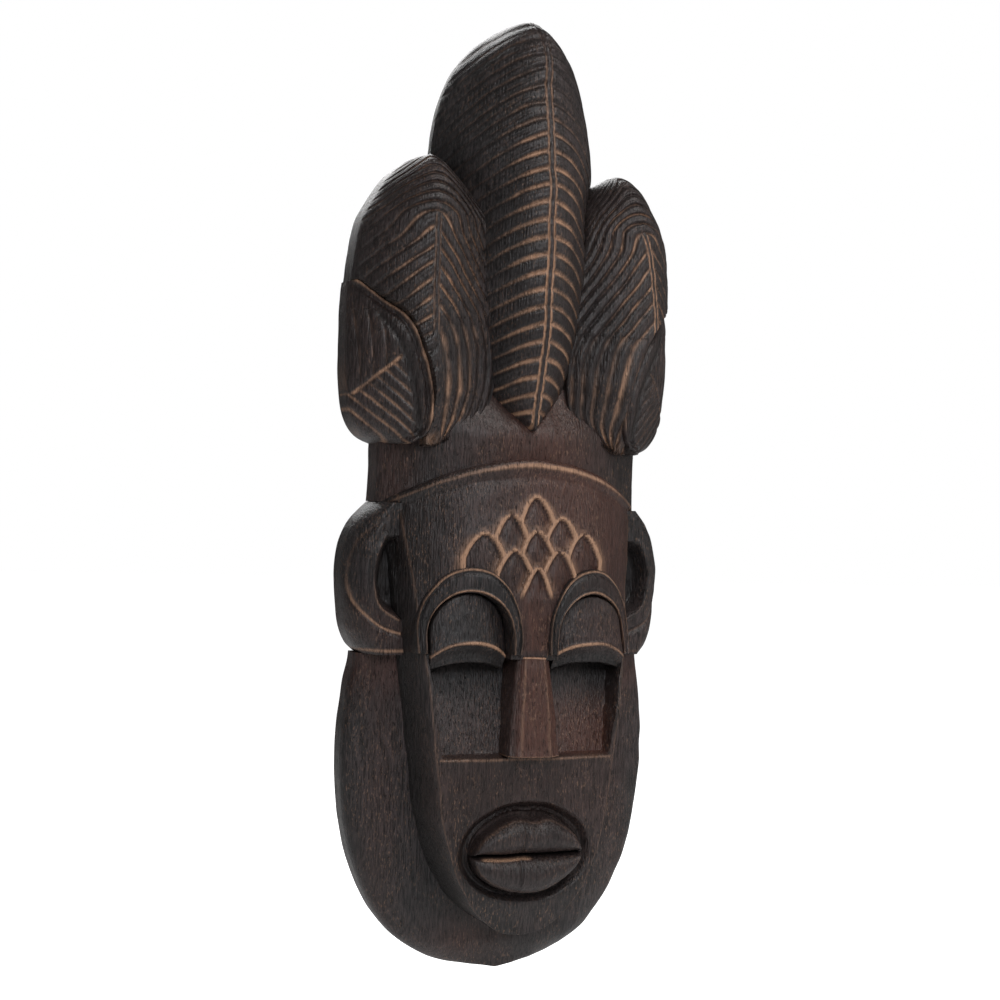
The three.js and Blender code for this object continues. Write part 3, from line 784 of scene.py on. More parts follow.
@dataclass
class Collar:
    """The wide flat board behind the face."""

    edge: Points = field(default_factory=lambda: [
        (2, 0), (24, 2), (43, 7), (68, 24), (87, 53), (98, 87), (103, 128), (101.5, 165), (96.5, 197.7),
    ])

    def front(self, s: Spots) -> Relief:
        """Relief of the board: nearly flat, with long shallow tool cuts."""
        depth = mix(30.0, 17.5, s.across**4) - 5 * smooth(20, 0, s.z)
        depth = depth + 0.6 * gouges(s.x, s.z, 11, 21) + 0.7 * drift(s.x, s.z, 26, 4)
        low = bell(s.z - 20, 16) * bell(s.x + 20, 26)
        warm = 0.45 * low + 0.45 * bell(s.z - 190, 16) + 0.2 * bell(np.abs(s.x) - 80, 12)
        worn = bell(s.rim - 1.5, 1.2) * smooth(0.2, 0.8, drift(s.x, s.z, 17, 2))
        return Relief(depth, np.maximum(0.10 * low, 0.22 * worn), 0.0, warm)

    def build(self, bench: Bench, face: Face) -> None:
        """Carves the board and opens it where the face is hollow."""
        plate = Plate(mirrored(self.edge), self.edge, soft_ends=False)
        board = bench.carve(
            "collar_board", plate, self.front, "dark_stained_wood", back=0.3, step=1.0, ease=4.5,
        )
        bench.cut(board, face.scoop(bench.base, grow=1.5))


@dataclass
class CrownBand:
    """The band above the forehead that the plumes stand on."""

    edge: Points = field(default_factory=lambda: [(88.3, 291.3), (87.8, 310), (87.8, 330), (88.3, 366)])

    def front(self, s: Spots) -> Relief:
        """Relief of the band: a plain rounded surface, reddest in the middle."""
        depth = mix(56.0, 22.0, np.abs(s.across) ** 2.4)
        depth = depth - 18 * smooth(332, 366, s.z) * (1 - np.abs(s.across))
        depth = depth + 0.5 * gouges(s.x, s.z, 8, 31) + 0.5 * drift(s.x, s.z, 21, 6)
        warm = 0.7 * bell(s.x - 8, 42) + 0.35 * bell(s.x + 78, 10)
        bare = 0.16 * bell(s.x - 24, 26) * smooth(0.1, 0.9, drift(s.x, s.z, 9, 11))
        # Painted shade across the upper band, where the plumes stand on it.
        return Relief(depth, bare, 0.2 * bell(s.z - 345, 14), warm)

    def build(self, bench: Bench) -> None:
        """Carves the band."""
        plate = Plate(mirrored(self.edge), self.edge, soft_ends=False)
        bench.carve("crown_band", plate, self.front, "red_stained_wood", back=0.25, step=0.9, ease=4.0)


@dataclass
class CentrePlume:
    """The tall middle leaf with its midrib and swept veins."""

    bottom: float = 338.0
    top: float = 600.0
    pitch: float = 10.6
    pocket_half_width: float = 17.0
    pocket_depth: float = 8.0
    pocket_top: float = 448.0
    pocket_length: float = 58.0
    edge: Points = field(default_factory=lambda: [
        (2, 338), (15, 347), (27, 362), (34, 380), (40, 415), (47, 465), (54.5, 496), (55.5, 512),
        (52, 537), (44, 562), (32, 580), (15, 595), (2, 600),
    ])

    def form(self, across: Array, z: Array) -> Array:
        """Depth of the plume before its veins are cut."""
        edge = mix(34.0, 8.0, smooth(430, 500, z))
        ridge = 76 - 12 * smooth(480, 560, z) - 14 * smooth(410, self.bottom, z)
        tip = pillow(np.clip((z - self.top + 45) / 45, 0, 1)) * 0.9 + 0.1
        return mix(edge, ridge, vault(across) * tip)

    def front(self, s: Spots) -> Relief:
        """Relief of the plume: veins that leave a double midrib and bend down to the edge."""
        side = np.abs(s.x)
        drop = 0.14 * side + 0.0112 * side**2
        phase = (s.z + drop + 0.5 * drift(s.x, s.z, 20, 40)) / self.pitch
        off_line = phase - np.round(phase)
        off = np.abs(off_line) * self.pitch * 0.9
        between = np.abs(phase - np.floor(phase) - 0.5) * self.pitch * 0.9
        upper_left = smooth(-8, -20, s.x) * smooth(470, 530, s.z)
        vein = bell(off, 1.7 - 0.016 * side) * smooth(1.2, 3.5, side)
        fine = bell(between, 0.9) * upper_left
        lower_edge = bell(off_line - 0.10, 0.09)
        midrib = bell(side - 1.9, 0.75)
        depth = self.form(s.across, s.z) - 1.55 * vein - 0.7 * fine - 1.1 * midrib
        depth = depth + 0.8 * bell(off - self.pitch * 0.28, 2.2) - 0.25 * gouges(s.x, s.z, 6, 41)
        near = np.where(s.x > 0, bell(side / 46, 1.0), bell(side / 19, 1.0))
        lit = smooth(592, 500, s.z) * (0.25 + 0.75 * smooth(575, 480, s.z))
        # The veins on the left half get a faint pale tone: partly lighter stain, partly painted sheen.
        faint = 0.26 * smooth(-2, -14, s.x)
        broken = 0.74 + 0.26 * drift(s.x, s.z, 5, 42)
        bare = np.maximum(vein * (near * lit + faint), 0.24 * fine) * broken
        bare = np.maximum(bare, 0.15 * lower_edge * near * lit)
        bare = np.maximum(bare, midrib * smooth(597, 545, s.z) * (0.55 + 0.35 * smooth(520, 420, s.z)))
        # Painted shadow along one side of each vein, and painted shade towards the plume's edges.
        shade = 0.55 * bell(off_line + 0.17, 0.12) * smooth(1.5, 4, side) * (1 - bare)
        painted_shade = np.maximum(shade, 0.4 * smooth(0.82, 1.0, np.abs(s.across)))
        return Relief(depth, bare, painted_shade, 0.12 * near)

    def build(self, bench: Bench) -> None:
        """Carves the plume and cuts the pocket for the hanger into its back."""
        plate = Plate(mirrored(self.edge), self.edge)
        plume = bench.carve("centre_plume", plate, self.front, "leaf_stained_wood", step=0.68, ease=2.4)
        box = bmesh.new()
        bmesh.ops.create_cube(box, size=2.0)
        size = Vector((self.pocket_half_width, self.pocket_depth, self.pocket_length / 2)) * MM
        bmesh.ops.scale(box, verts=box.verts, vec=size)
        middle = self.pocket_top - self.pocket_length / 2
        bmesh.ops.translate(box, verts=box.verts, vec=(0, 0, bench.base + middle * MM))
        bench.cut(plume, to_mesh(box, "hanger_pocket"))


@dataclass
class SidePlume:
    """One of the two lower plumes, whose veins run down into lines along its edge."""

    hand: Hand
    top: float = 507.0
    bottom: float = 326.0
    pitch: float = 10.4
    fan_from: float = 396.0
    crest_from: float = 466.0
    leaf_top: float = 427.0
    under_leaf_depth: float = 14.0
    inner: Points = field(default_factory=lambda: [
        (64, 326), (46, 334), (31, 347), (26, 372), (28, 404), (32, 437), (37, 467), (43, 485), (51, 499),
        (62, 507),
    ])
    outer: Points = field(default_factory=lambda: [
        (68, 326), (84, 328), (96, 334), (103, 346), (107, 368), (108.5, 400), (108.5, 428), (106.5, 446),
        (102.5, 464), (94, 482), (86.5, 493), (77, 502), (66, 507),
    ])
    inner_left: Points = field(default_factory=lambda: [
        (62, 326), (44, 334), (28, 347), (20.5, 372), (21, 404), (26, 437), (31, 467), (39, 485), (49, 499),
        (62, 507),
    ])
    leaf_line: Points = field(default_factory=lambda: SideLeaf(Hand.LEFT).inner[1:])
    midrib: Points = field(default_factory=lambda: [
        (58, 328), (63, 352), (66, 390), (67.5, 430), (67, 468), (66, 507),
    ])
    midrib_right: Points = field(default_factory=lambda: [
        (62, 328), (74, 352), (81, 385), (83, 408), (81, 426), (76, 450), (68, 475), (62, 507),
    ])

    def form(self, outward: Array, z: Array) -> Array:
        """Depth of the plume before its veins are cut."""
        edge = mix(mix(48.0, 24.0, smooth(462, self.top, z)), 22.0, outward)
        ridge = 61 - 12 * smooth(370, self.bottom, z)
        tip = pillow(np.clip((z - self.top + 45) / 45, 0, 1)) * 0.9 + 0.1
        return mix(edge, ridge, vault(2 * outward - 1) * tip)

    def front(self, s: Spots) -> Relief:
        """Relief of the plume: fishbone veins over long lines, under arcs round its top."""
        x, z = np.abs(s.x), s.z
        left = self.hand is Hand.LEFT
        rib_x = x_at(self.midrib if left else self.midrib_right, z)
        inner_x, outer_x = x_at(self.inner_left if left else self.inner, z), x_at(self.outer, z)
        to_inner = np.clip((rib_x - x) / np.maximum(rib_x - inner_x, 4), 0, 1.2)
        to_outer = np.clip((x - rib_x) / np.maximum(outer_x - rib_x, 4), 0, 1.2)
        inward = x < rib_x
        crest = 0.7 * np.clip(z - self.crest_from, 0, None)
        up = z - self.fan_from
        climb = self.fan_from + (up + np.sqrt(up**2 + 260)) / 2 + crest
        turn = smooth(448, 476, z)
        swept = 42 * to_inner + 22 * to_inner**2
        swept = mix(swept, 60 * to_inner**2, turn)
        fall = np.where(inward, swept, 36 * to_outer ** mix(1.2, 2.0, turn))
        level = np.where(inward, climb, z + crest) + fall
        phase = (level + 0.6 * drift(s.x, z, 14, 50)) / self.pitch
        slope = np.where(inward & (z < 400), 0.42, 0.82)
        off_line = phase - np.round(phase)
        off = np.abs(off_line) * self.pitch * slope
        from_rib = np.abs(x - rib_x)
        rib = bell(from_rib - 1.5, 0.7) * smooth(self.top - 36, self.top - 46, z) * smooth(388, 400, z)
        vein = bell(off, 1.15) * np.maximum(smooth(1.4, 3.2, from_rib), smooth(462, 470, z))
        depth = self.form((1 + self.hand.value * s.across) / 2, z) - 1.5 * vein - 0.8 * rib
        depth = depth + 0.6 * bell(off - 3.0, 1.8) - 0.3 * gouges(s.x, z, 6, 51)
        broken = 0.66 + 0.34 * drift(s.x, z, 6, 52)
        bare = np.maximum(vein * self.glow(x, z, rib_x) * broken, rib * (0.35 if left else 0.8))
        tie = bell(np.hypot((x - 62) / 8, (z - self.bottom - 4) / 7), 1.0)
        bare = np.maximum(bare, 0.5 * tie * broken)
        under_leaf = (x > x_at(self.leaf_line, z) + 1.2) & (z < self.leaf_top)
        depth = np.where(under_leaf, self.under_leaf_depth, depth)
        # Painted shadow along one side of each vein, and painted shade at the plume's edges.
        shade = 0.5 * bell(off_line + 0.17, 0.12) * (1 - bare)
        return Relief(depth, bare, np.maximum(shade, 0.35 * smooth(8, 0, s.rim)), 0.12)

    def glow(self, x: Array, z: Array, rib_x: Array) -> Array:
        """How far the veins are rubbed through to bare wood."""
        if self.hand is Hand.LEFT:
            heart = bell(np.hypot((x - 62) / 32, (z - 432) / 52), 1.0)
            foot = 0.8 * bell(x - 52, 14) * smooth(400, 360, z)
            crest = 0.42 * smooth(440, 480, z)
            return np.maximum(np.maximum(0.95 * heart, foot), crest)
        near = bell((x - rib_x) / 34, 1.0)
        return np.maximum(0.85 * near * smooth(500, 470, z), 0.12 + 0.4 * smooth(400, 350, z))

    def build(self, bench: Bench) -> None:
        """Carves the plume."""
        inner = self.inner_left if self.hand is Hand.LEFT else self.inner
        plate = Plate.sided(self.hand, inner, self.outer)
        bench.carve(
            f"{self.hand.word}_plume", plate, self.front, "leaf_stained_wood", back=0.5, step=0.62, ease=3.0,
        )


@dataclass
class SideLeaf:
    """The small leaf that folds round the outside of a side plume."""

    hand: Hand
    upright_pitch: float = 6.2
    sweep_pitch: float = 7.6
    upright_top: float = 408.0
    inner: Points = field(default_factory=lambda: [
        (76, 327), (66, 334), (63, 352), (68, 376), (78, 400), (91, 414), (105, 427),
    ])
    outer: Points = field(default_factory=lambda: [
        (86, 327), (98, 332), (105, 342), (108.5, 358), (110, 384), (110, 408), (109.5, 427),
    ])
    fold: Points = field(default_factory=lambda: [
        (72, 330), (73, 345), (77, 365), (84, 385), (95, 404),
    ])
    midrib: Points = field(default_factory=lambda: [(105.5, 357), (96, 367), (84, 379)])

    def front(self, s: Spots) -> Relief:
        """Relief of the leaf: a border, a smooth fold, lines above its midrib and veins below."""
        x, z = np.abs(s.x), s.z
        outward = (1 + self.hand.value * s.across) / 2
        full = vault(outward) * (1 - 0.75 * smooth(0.6, 1, s.along))
        depth = mix(20.0, 54.0, full) - 6 * np.abs(2 * s.along - 1) ** 3
        border = away_from(self.inner, x, z)
        fold = away_from(self.fold, x, z)
        rib = away_from(self.midrib, x, z)
        past_fold = smooth(0.5, 4, x - x_at(self.fold, z))
        above = past_fold * smooth(-1, 2.5, z - height_at(self.midrib[::-1], x))
        below = past_fold * (1 - above)
        below_top = z < self.upright_top
        upright = np.abs(((x - 0.10 * (z - 360)) / self.upright_pitch) % 1 - 0.5) * self.upright_pitch
        sweep = np.abs(((z + 0.95 * (105 - x)) / self.sweep_pitch) % 1 - 0.5) * self.sweep_pitch * 0.72
        lines = np.maximum(bell(upright, 1.2) * above * below_top, bell(sweep, 1.1) * below)
        depth = depth + 1.3 * bell(border - 1.6, 1.5) - 1.4 * bell(border - 4.4, 1.4)
        depth = depth - 1.8 * bell(fold, 1.8) - 1.3 * lines - 1.2 * bell(rib, 1.3)
        depth = depth + 0.4 * gouges(x, z, 6, 61)
        broken = 0.7 + 0.3 * drift(x, z, 5, 62)
        strong = 1.0 if self.hand is Hand.LEFT else 0.45
        bare = 0.85 * bell(border - 1.6, 1.3) * smooth(330, 345, z)
        bare = np.maximum(bare, 0.8 * bell(rib, 1.2))
        bare = np.maximum(bare, bell(sweep, 0.9) * below * 0.62)
        bare = np.maximum(bare, bell(upright, 0.9) * above * below_top * 0.28)
        # Painted shade in the fold.
        return Relief(depth, strong * bare * broken, 0.6 * bell(fold, 2.4), 0.15)

    def build(self, bench: Bench) -> None:
        """Carves the leaf."""
        plate = Plate.sided(self.hand, self.inner, self.outer)
        bench.carve(
            f"{self.hand.word}_side_leaf", plate, self.front, "leaf_stained_wood",
            back=0.75, step=0.55, ease=2.2,
        )


# ---- finishes ----


class Graph:
    """Adds and joins nodes in one node tree."""

    def __init__(self, tree: bpy.types.NodeTree) -> None:
        """Starts with the tree that the nodes go into."""
        self.tree = tree

    def node(self, kind: str, values: dict[str, object] | None = None, **settings: object) -> bpy.types.Node:
        """Adds a node.

        Args:
            kind: The node's type.
            values: Socket values or sources, by socket name or place.
            settings: The node's own options.

        Returns:
            The new node.
        """
        made = self.tree.nodes.new(kind)
        for name, value in settings.items():
            setattr(made, name, value)
        self.feed(made, values or {})
        return made

    def feed(self, node: bpy.types.Node, values: dict[str, object]) -> None:
        """Joins sources to a node's inputs, or sets their values."""
        for name, value in values.items():
            if isinstance(value, bpy.types.NodeSocket):
                self.tree.links.new(value, node.inputs[name])
            else:
                node.inputs[name].default_value = value

    def math(self, operation: str, a: object, b: object = 0.0, clamp: bool = False) -> bpy.types.NodeSocket:
        """Adds a Math node and returns its result."""
        return self.node("ShaderNodeMath", {0: a, 1: b}, operation=operation, use_clamp=clamp).outputs[0]

    def blend(self, amount: object, a: object, b: object) -> bpy.types.NodeSocket:
        """Adds a colour Mix node and returns its result."""
        values = {"Factor": amount, 6: a, 7: b}
        return self.node("ShaderNodeMix", values, data_type="RGBA").outputs[2]

    def ramp(self, value: object, low: float, high: float) -> bpy.types.NodeSocket:
        """Eased step of a value from 0 at low to 1 at high."""
        values = {"Value": value, 1: low, 2: high}
        return self.node("ShaderNodeMapRange", values, interpolation_type="SMOOTHSTEP").outputs[0]


class Groups:
    """The node groups that several finishes share."""

    def __init__(self) -> None:
        """Builds every group once."""
        self.grain = self.make_grain()
        self.stain = self.make_stain_and_shade()

    @staticmethod
    def start(
        name: str, inputs: dict[str, object], outputs: list[tuple[str, str]],
    ) -> tuple[bpy.types.NodeTree, Graph, bpy.types.Node, bpy.types.Node]:
        """Makes an empty group with its sockets.

        Args:
            name: Name of the group.
            inputs: Start values by input name: a number, a colour or None for a vector.
            outputs: Names and socket types of the outputs.

        Returns:
            The group, its node adder, and its input and output nodes.
        """
        group = bpy.data.node_groups.new(name, "ShaderNodeTree")
        for label, value in inputs.items():
            kind = "NodeSocketFloat"
            if value is None:
                kind = "NodeSocketVector"
            elif isinstance(value, tuple):
                kind = "NodeSocketColor"
            socket = group.interface.new_socket(label, in_out="INPUT", socket_type=kind)
            if value is not None:
                socket.default_value = value
        for label, kind in outputs:
            group.interface.new_socket(label, in_out="OUTPUT", socket_type=kind)
        graph = Graph(group)
        return group, graph, graph.node("NodeGroupInput"), graph.node("NodeGroupOutput")

    def make_grain(self) -> bpy.types.NodeTree:
        """Upright wood grain: fibres, short open pores and cloudy patches."""
        outputs = [(n, "NodeSocketFloat") for n in ("Fibre", "Pores", "Clouds", "Flecks")]
        group, g, start, end = self.start("wood_grain", {"Place": None}, outputs)
        place = start.outputs["Place"]

        def noise(stretch: tuple[float, float, float], detail: float) -> bpy.types.NodeSocket:
            """A noise stretched along the grain."""
            moved = g.node("ShaderNodeMapping", {"Vector": place, "Scale": stretch}).outputs[0]
            values = {"Vector": moved, "Scale": 1.0, "Detail": detail}
            return g.node("ShaderNodeTexNoise", values).outputs["Fac"]

        fibre = noise((1100, 700, 90), 3.0)
        pores = g.ramp(noise((1500, 900, 230), 2.0), 0.60, 0.70)
        clouds = noise((22, 22, 12), 3.0)
        patches = g.ramp(noise((60, 60, 34), 2.0), 0.36, 0.60)
        flecks = g.math("MULTIPLY", g.ramp(noise((1250, 800, 380), 2.5), 0.55, 0.70), patches)
        g.feed(end, {"Fibre": fibre, "Pores": pores, "Clouds": clouds, "Flecks": flecks})
        return group

    def make_stain_and_shade(self) -> bpy.types.NodeTree:
        """Dark stain on carved wood: warm patches, pale flecks, bare rubbed edges, and painted shade that
        darkens hollows.
        """
        inputs = {
            "Place": None, "Stain": (0.02, 0.015, 0.013, 1.0), "Faded": (0.06, 0.05, 0.048, 1.0),
            "Warm": (0.12, 0.04, 0.02, 1.0), "Bare": (0.5, 0.25, 0.12, 1.0), "Fleck amount": 0.3,
            "Roughness low": 0.4, "Roughness high": 0.6,
        }
        outputs = [("Colour", "NodeSocketColor")]
        outputs += [(n, "NodeSocketFloat") for n in ("Roughness", "Height")]
        group, g, start, end = self.start("rubbed_stain_and_shade", inputs, outputs)
        take = start.outputs
        grain = g.node("ShaderNodeGroup", {"Place": take["Place"]}, node_tree=self.grain)
        marks = {c: g.node("ShaderNodeAttribute", attribute_name=c.value).outputs["Fac"] for c in Cut}
        fibre, clouds = grain.outputs["Fibre"], grain.outputs["Clouds"]
        cloudy = g.math("ADD", g.math("MULTIPLY", g.ramp(clouds, 0.36, 0.66), 0.65), 0.35)
        faded = g.math("MULTIPLY", cloudy, g.ramp(fibre, 0.34, 0.66))
        colour = g.blend(faded, take["Stain"], take["Faded"])
        reddest = g.math("ADD", g.math("MULTIPLY", fibre, 1.3), 0.25)
        red = g.math("MULTIPLY", marks[Cut.WARM], reddest, clamp=True)
        red = g.math("MULTIPLY", red, g.math("ADD", g.math("MULTIPLY", clouds, 0.9), 0.45), clamp=True)
        colour = g.blend(red, colour, take["Warm"])
        fleck = g.math("MULTIPLY", grain.outputs["Flecks"], take["Fleck amount"], clamp=True)
        # Pale flecks are kept out of the painted shade.
        fleck = g.math("MULTIPLY", fleck, g.math("SUBTRACT", 1.0, marks[Cut.PAINTED_SHADE]))
        colour = g.blend(fleck, colour, take["Bare"])
        worn = g.math("MULTIPLY", marks[Cut.BARE], g.math("ADD", g.math("MULTIPLY", fibre, 1.2), 0.4))
        worn = g.ramp(worn, 0.06, 0.85)
        colour = g.blend(worn, colour, take["Bare"])
        # Painted shade: where the carving marks shade, the colour is pulled towards near-black.
        dark = g.math("MULTIPLY", marks[Cut.PAINTED_SHADE], 0.9)
        colour = g.blend(dark, colour, (0.006, 0.005, 0.005, 1.0))
        pores = g.math("MULTIPLY", grain.outputs["Pores"], 0.45)
        colour = g.blend(pores, colour, (0.01, 0.007, 0.006, 1.0))
        span = g.math("SUBTRACT", take["Roughness high"], take["Roughness low"])
        rough = g.math("ADD", g.math("MULTIPLY", span, clouds), take["Roughness low"])
        rough = g.math("ADD", rough, g.math("MULTIPLY", worn, 0.2), clamp=True)
        height = g.math("SUBTRACT", fibre, g.math("MULTIPLY", grain.outputs["Pores"], 0.8))
        g.feed(end, {"Colour": colour, "Roughness": rough, "Height": height})
        return group


def blank(name: str) -> tuple[bpy.types.Material, Graph]:
    """A new material without nodes, and the adder for its tree."""
    made = bpy.data.materials.new(name)
    made.use_nodes = True
    made.node_tree.nodes.clear()
    return made, Graph(made.node_tree)


@dataclass(frozen=True)
class Stained:
    """A stained wood finish, rubbed back on its carving, with painted shade where the carving marks it."""

    stain: tuple[float, float, float]
    faded: tuple[float, float, float]
    warm: tuple[float, float, float]
    bare: tuple[float, float, float]
    flecks: float
    rough: tuple[float, float]

    def material(self, name: str, groups: Groups) -> bpy.types.Material:
        """Builds the finish."""
        made, g = blank(name)
        place = g.node("ShaderNodeTexCoord").outputs["Object"]
        values = {
            "Place": place, "Stain": (*self.stain, 1), "Faded": (*self.faded, 1), "Warm": (*self.warm, 1),
            "Bare": (*self.bare, 1), "Fleck amount": self.flecks,
            "Roughness low": self.rough[0], "Roughness high": self.rough[1],
        }
        stain = g.node("ShaderNodeGroup", values, node_tree=groups.stain)
        height = stain.outputs["Height"]
        bump = g.node("ShaderNodeBump", {"Height": height, "Strength": 1.0, "Distance": 0.0009})
        surface = g.node("ShaderNodeBsdfPrincipled", {
            "Base Color": stain.outputs["Colour"], "Roughness": stain.outputs["Roughness"],
            "Normal": bump.outputs[0], "Coat Weight": 0.12, "Coat Roughness": 0.35,
        })
        g.node("ShaderNodeOutputMaterial", {"Surface": surface.outputs[0]})
        return made


@dataclass(frozen=True)
class BareWood:
    """Sanded wood with no stain, as the hidden dowels have."""

    pale: tuple[float, float, float] = (0.42, 0.25, 0.13)
    brown: tuple[float, float, float] = (0.24, 0.12, 0.055)

    def material(self, name: str, groups: Groups) -> bpy.types.Material:
        """Builds the finish."""
        made, g = blank(name)
        place = g.node("ShaderNodeTexCoord").outputs["Object"]
        fibre = g.node("ShaderNodeGroup", {"Place": place}, node_tree=groups.grain).outputs["Fibre"]
        colour = g.blend(fibre, (*self.brown, 1), (*self.pale, 1))
        bump = g.node("ShaderNodeBump", {"Height": fibre, "Strength": 0.3, "Distance": 0.0003})
        surface = g.node("ShaderNodeBsdfPrincipled", {
            "Base Color": colour, "Roughness": 0.7, "Normal": bump.outputs[0],
        })
        g.node("ShaderNodeOutputMaterial", {"Surface": surface.outputs[0]})
        return made


@dataclass(frozen=True)
class ZincSteel:
    """Zinc-plated steel with a faint spangle and dull spots."""

    bright: tuple[float, float, float] = (0.66, 0.64, 0.60)
    dull: tuple[float, float, float] = (0.40, 0.38, 0.35)

    def material(self, name: str) -> bpy.types.Material:
        """Builds the finish."""
        made, g = blank(name)
        place = g.node("ShaderNodeTexCoord").outputs["Object"]
        spangle = g.node("ShaderNodeTexVoronoi", {"Vector": place, "Scale": 420.0}).outputs["Color"]
        cloud = g.node("ShaderNodeTexNoise", {"Vector": place, "Scale": 160.0, "Detail": 4.0}).outputs["Fac"]
        level = g.node("ShaderNodeSeparateColor", {"Color": spangle}).outputs[0]
        amount = g.math("MULTIPLY", g.ramp(cloud, 0.35, 0.7), 0.8)
        colour = g.blend(amount, (*self.bright, 1), (*self.dull, 1))
        rough = g.math("ADD", g.math("MULTIPLY", level, 0.12), g.math("MULTIPLY", cloud, 0.5), clamp=True)
        bump = g.node("ShaderNodeBump", {"Height": cloud, "Strength": 0.15, "Distance": 0.0002})
        surface = g.node("ShaderNodeBsdfPrincipled", {
            "Base Color": colour, "Metallic": 1.0, "Roughness": rough, "Normal": bump.outputs[0],
        })
        g.node("ShaderNodeOutputMaterial", {"Surface": surface.outputs[0]})
        return made


TAN = (0.44, 0.25, 0.155)
FINISHES: dict[str, Stained] = {
    "dark_stained_wood": Stained(
        (0.0045, 0.0034, 0.0034), (0.052, 0.039, 0.039), (0.085, 0.028, 0.018), TAN, 0.26, (0.34, 0.60),
    ),
    "red_stained_wood": Stained(
        (0.0048, 0.0034, 0.0032), (0.052, 0.037, 0.036), (0.095, 0.031, 0.018), TAN, 0.30, (0.34, 0.60),
    ),
    "leaf_stained_wood": Stained(
        (0.0042, 0.0034, 0.0034), (0.050, 0.040, 0.040), (0.085, 0.032, 0.022), TAN, 0.20, (0.32, 0.56),
    ),
}


def make_finishes() -> dict[str, bpy.types.Material]:
    """Builds the material of every slot."""
    groups = Groups()
    made = {slot: finish.material(slot, groups) for slot, finish in FINISHES.items()}
    made["bare_wood"] = BareWood().material("bare_wood", groups)
    made["zinc_steel"] = ZincSteel().material("zinc_steel")
    return made


# ---- hardware and hidden pegs ----


def dress_solids(frame: dict, finishes: dict[str, bpy.types.Material], slots: tuple[str, ...]) -> None:
    """Gives the solids that keep their shape the finish of their slot.

    Args:
        frame: The loaded frame.
        finishes: Material of each slot.
        slots: Slots whose solids keep their shape.
    """
    for part in frame["record"]["subparts"]:
        if part["material_slot"] not in slots:
            continue
        solid = frame["nodes"][part["node"]]
        solid.data.materials.clear()
        solid.data.materials.append(finishes[part["material_slot"]])
        LOG.info("%s keeps its solid", part["node"])


# ---- studio ----


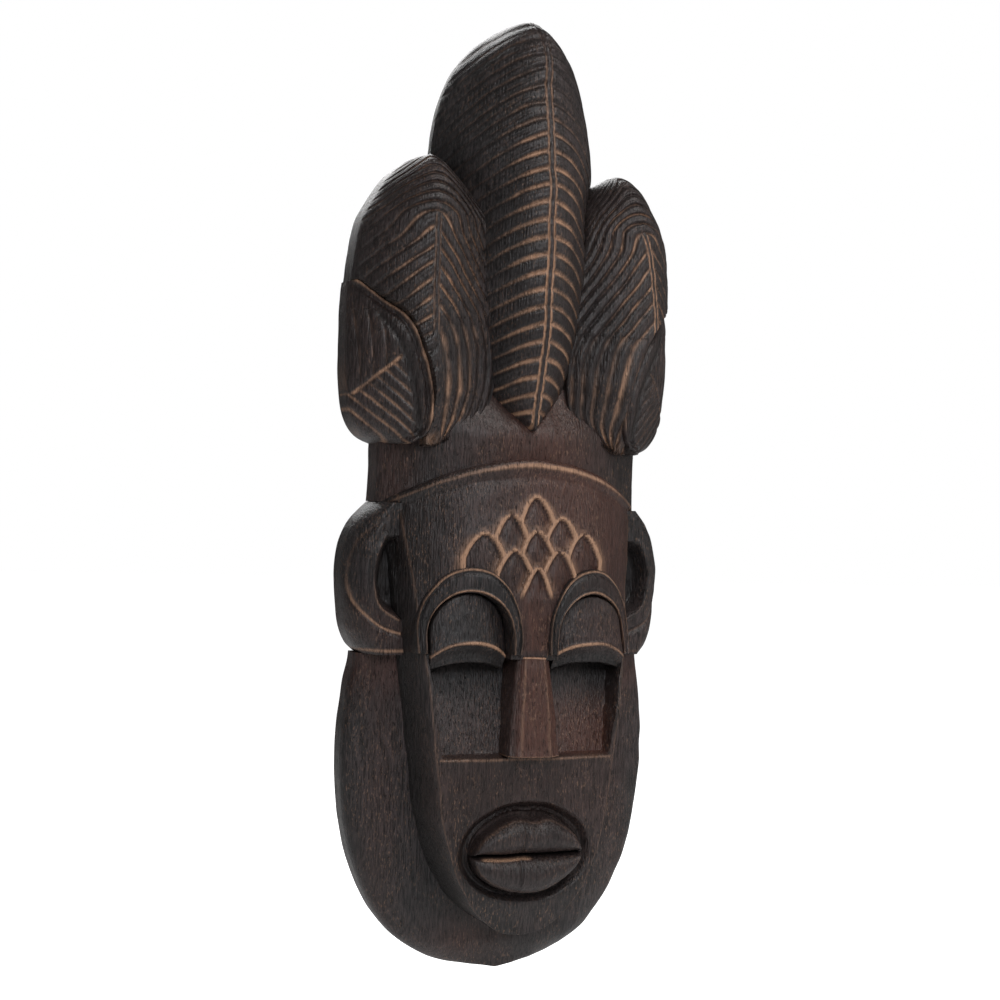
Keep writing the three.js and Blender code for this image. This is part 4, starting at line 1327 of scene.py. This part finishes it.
@dataclass
class Studio:
    """Floor, light and camera."""

    floor_height: float = -0.62
    eye: tuple[float, float, float] = (-0.3838, -0.9581, -0.1516)
    ahead: tuple[float, float, float] = (0.38386, 0.92332, 0.01157)
    lean: float = 1.98
    lens: float = 57.2
    shift: tuple[float, float] = (-0.0171, -0.0076)
    sensor: float = 36.0
    lit_point: tuple[float, float, float] = (0.0, -0.03, -0.14)
    floor_half_size: float = 9.0

    def camera(self) -> None:
        """Places the camera at the mask's left, level with the forehead."""
        data = bpy.data.cameras.new("camera")
        data.lens, data.sensor_width = self.lens, self.sensor
        data.shift_x, data.shift_y = self.shift
        made = add_object("camera", data)
        ahead = Vector(self.ahead).normalized()
        right = ahead.cross(Vector((0, 0, 1))).normalized()
        up = right.cross(ahead)
        turn = Matrix.Rotation(math.radians(-self.lean), 3, ahead)
        axes = Matrix((turn @ right, turn @ up, -ahead)).transposed()
        made.matrix_world = Matrix.Translation(self.eye) @ axes.to_4x4()
        bpy.context.scene.camera = made

    def floor(self) -> None:
        """Lays a pale floor."""
        sheet = bmesh.new()
        bmesh.ops.create_grid(sheet, x_segments=1, y_segments=1, size=self.floor_half_size)
        bmesh.ops.translate(sheet, verts=sheet.verts, vec=(0, 0, self.floor_height))
        mesh = to_mesh(sheet, "floor")
        made = add_object("floor", mesh)
        material = bpy.data.materials.new("floor_paint")
        material.use_nodes = True
        surface = material.node_tree.nodes["Principled BSDF"]
        surface.inputs["Base Color"].default_value = (0.9, 0.9, 0.9, 1)
        surface.inputs["Roughness"].default_value = 0.9
        surface.inputs["Emission Strength"].default_value = 1.0
        seen = material.node_tree.nodes.new("ShaderNodeLightPath")
        material.node_tree.links.new(seen.outputs["Is Camera Ray"], surface.inputs["Emission Color"])
        mesh.materials.append(material)

    def lamp(
        self, name: str, place: Vector, size: float, power: float, colour: tuple[float, float, float],
    ) -> None:
        """Hangs a soft square lamp that faces the mask.

        Args:
            name: Name of the lamp.
            place: Where it hangs, in metres.
            size: Width of the lamp.
            power: Its power in watts.
            colour: Its colour.
        """
        data = bpy.data.lights.new(name, "AREA")
        data.size, data.energy, data.color = size, power, colour
        made = add_object(name, data)
        turn = (Vector(self.lit_point) - place).to_track_quat("-Z", "Y")
        made.matrix_world = Matrix.Translation(place) @ turn.to_matrix().to_4x4()

    def light(self) -> None:
        """Lights the mask softly from above and in front, against white."""
        self.lamp("key_lamp", Vector((0.35, -1.1, 1.35)), 0.6, 13, (1.0, 0.98, 0.95))
        self.lamp("front_lamp", Vector((-0.45, -1.9, 0.75)), 0.8, 15, (0.93, 0.96, 1.0))
        self.lamp("right_lamp", Vector((1.4, -0.9, 0.2)), 0.9, 3.5, (1.0, 0.97, 0.94))
        self.lamp("back_lamp", Vector((0.3, 1.6, 0.9)), 1.2, 24, (1.0, 1.0, 1.0))
        world = bpy.data.worlds.new("white_room")
        world.use_nodes = True
        world.node_tree.nodes.clear()
        g = Graph(world.node_tree)
        seen = g.node("ShaderNodeLightPath").outputs["Is Camera Ray"]
        strength = g.math("ADD", g.math("MULTIPLY", seen, 0.9), 0.1)
        room = g.node("ShaderNodeBackground", {"Color": (1, 1, 1, 1), "Strength": strength})
        g.node("ShaderNodeOutputWorld", {"Surface": room.outputs[0]})
        bpy.context.scene.world = world
        bpy.context.scene.view_settings.view_transform = "Standard"


def main() -> None:
    """Builds the whole mask and its studio."""
    logging.basicConfig(level=logging.INFO, format="%(name)s: %(message)s")
    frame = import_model()
    finishes = make_finishes()
    bench = Bench(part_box("collar_board")[0].z, finishes)
    face = Face()
    face.build(bench)
    Mouth().build(bench)
    Collar().build(bench, face)
    CrownBand().build(bench)
    CentrePlume().build(bench)
    for hand in Hand:
        Eye(hand).build(bench, face)
        Ear(hand).build(bench)
        SidePlume(hand).build(bench)
        SideLeaf(hand).build(bench)
    dress_solids(frame, finishes, ("bare_wood", "zinc_steel"))
    studio = Studio()
    studio.camera()
    studio.floor()
    studio.light()


if __name__ == "__main__":
    main()
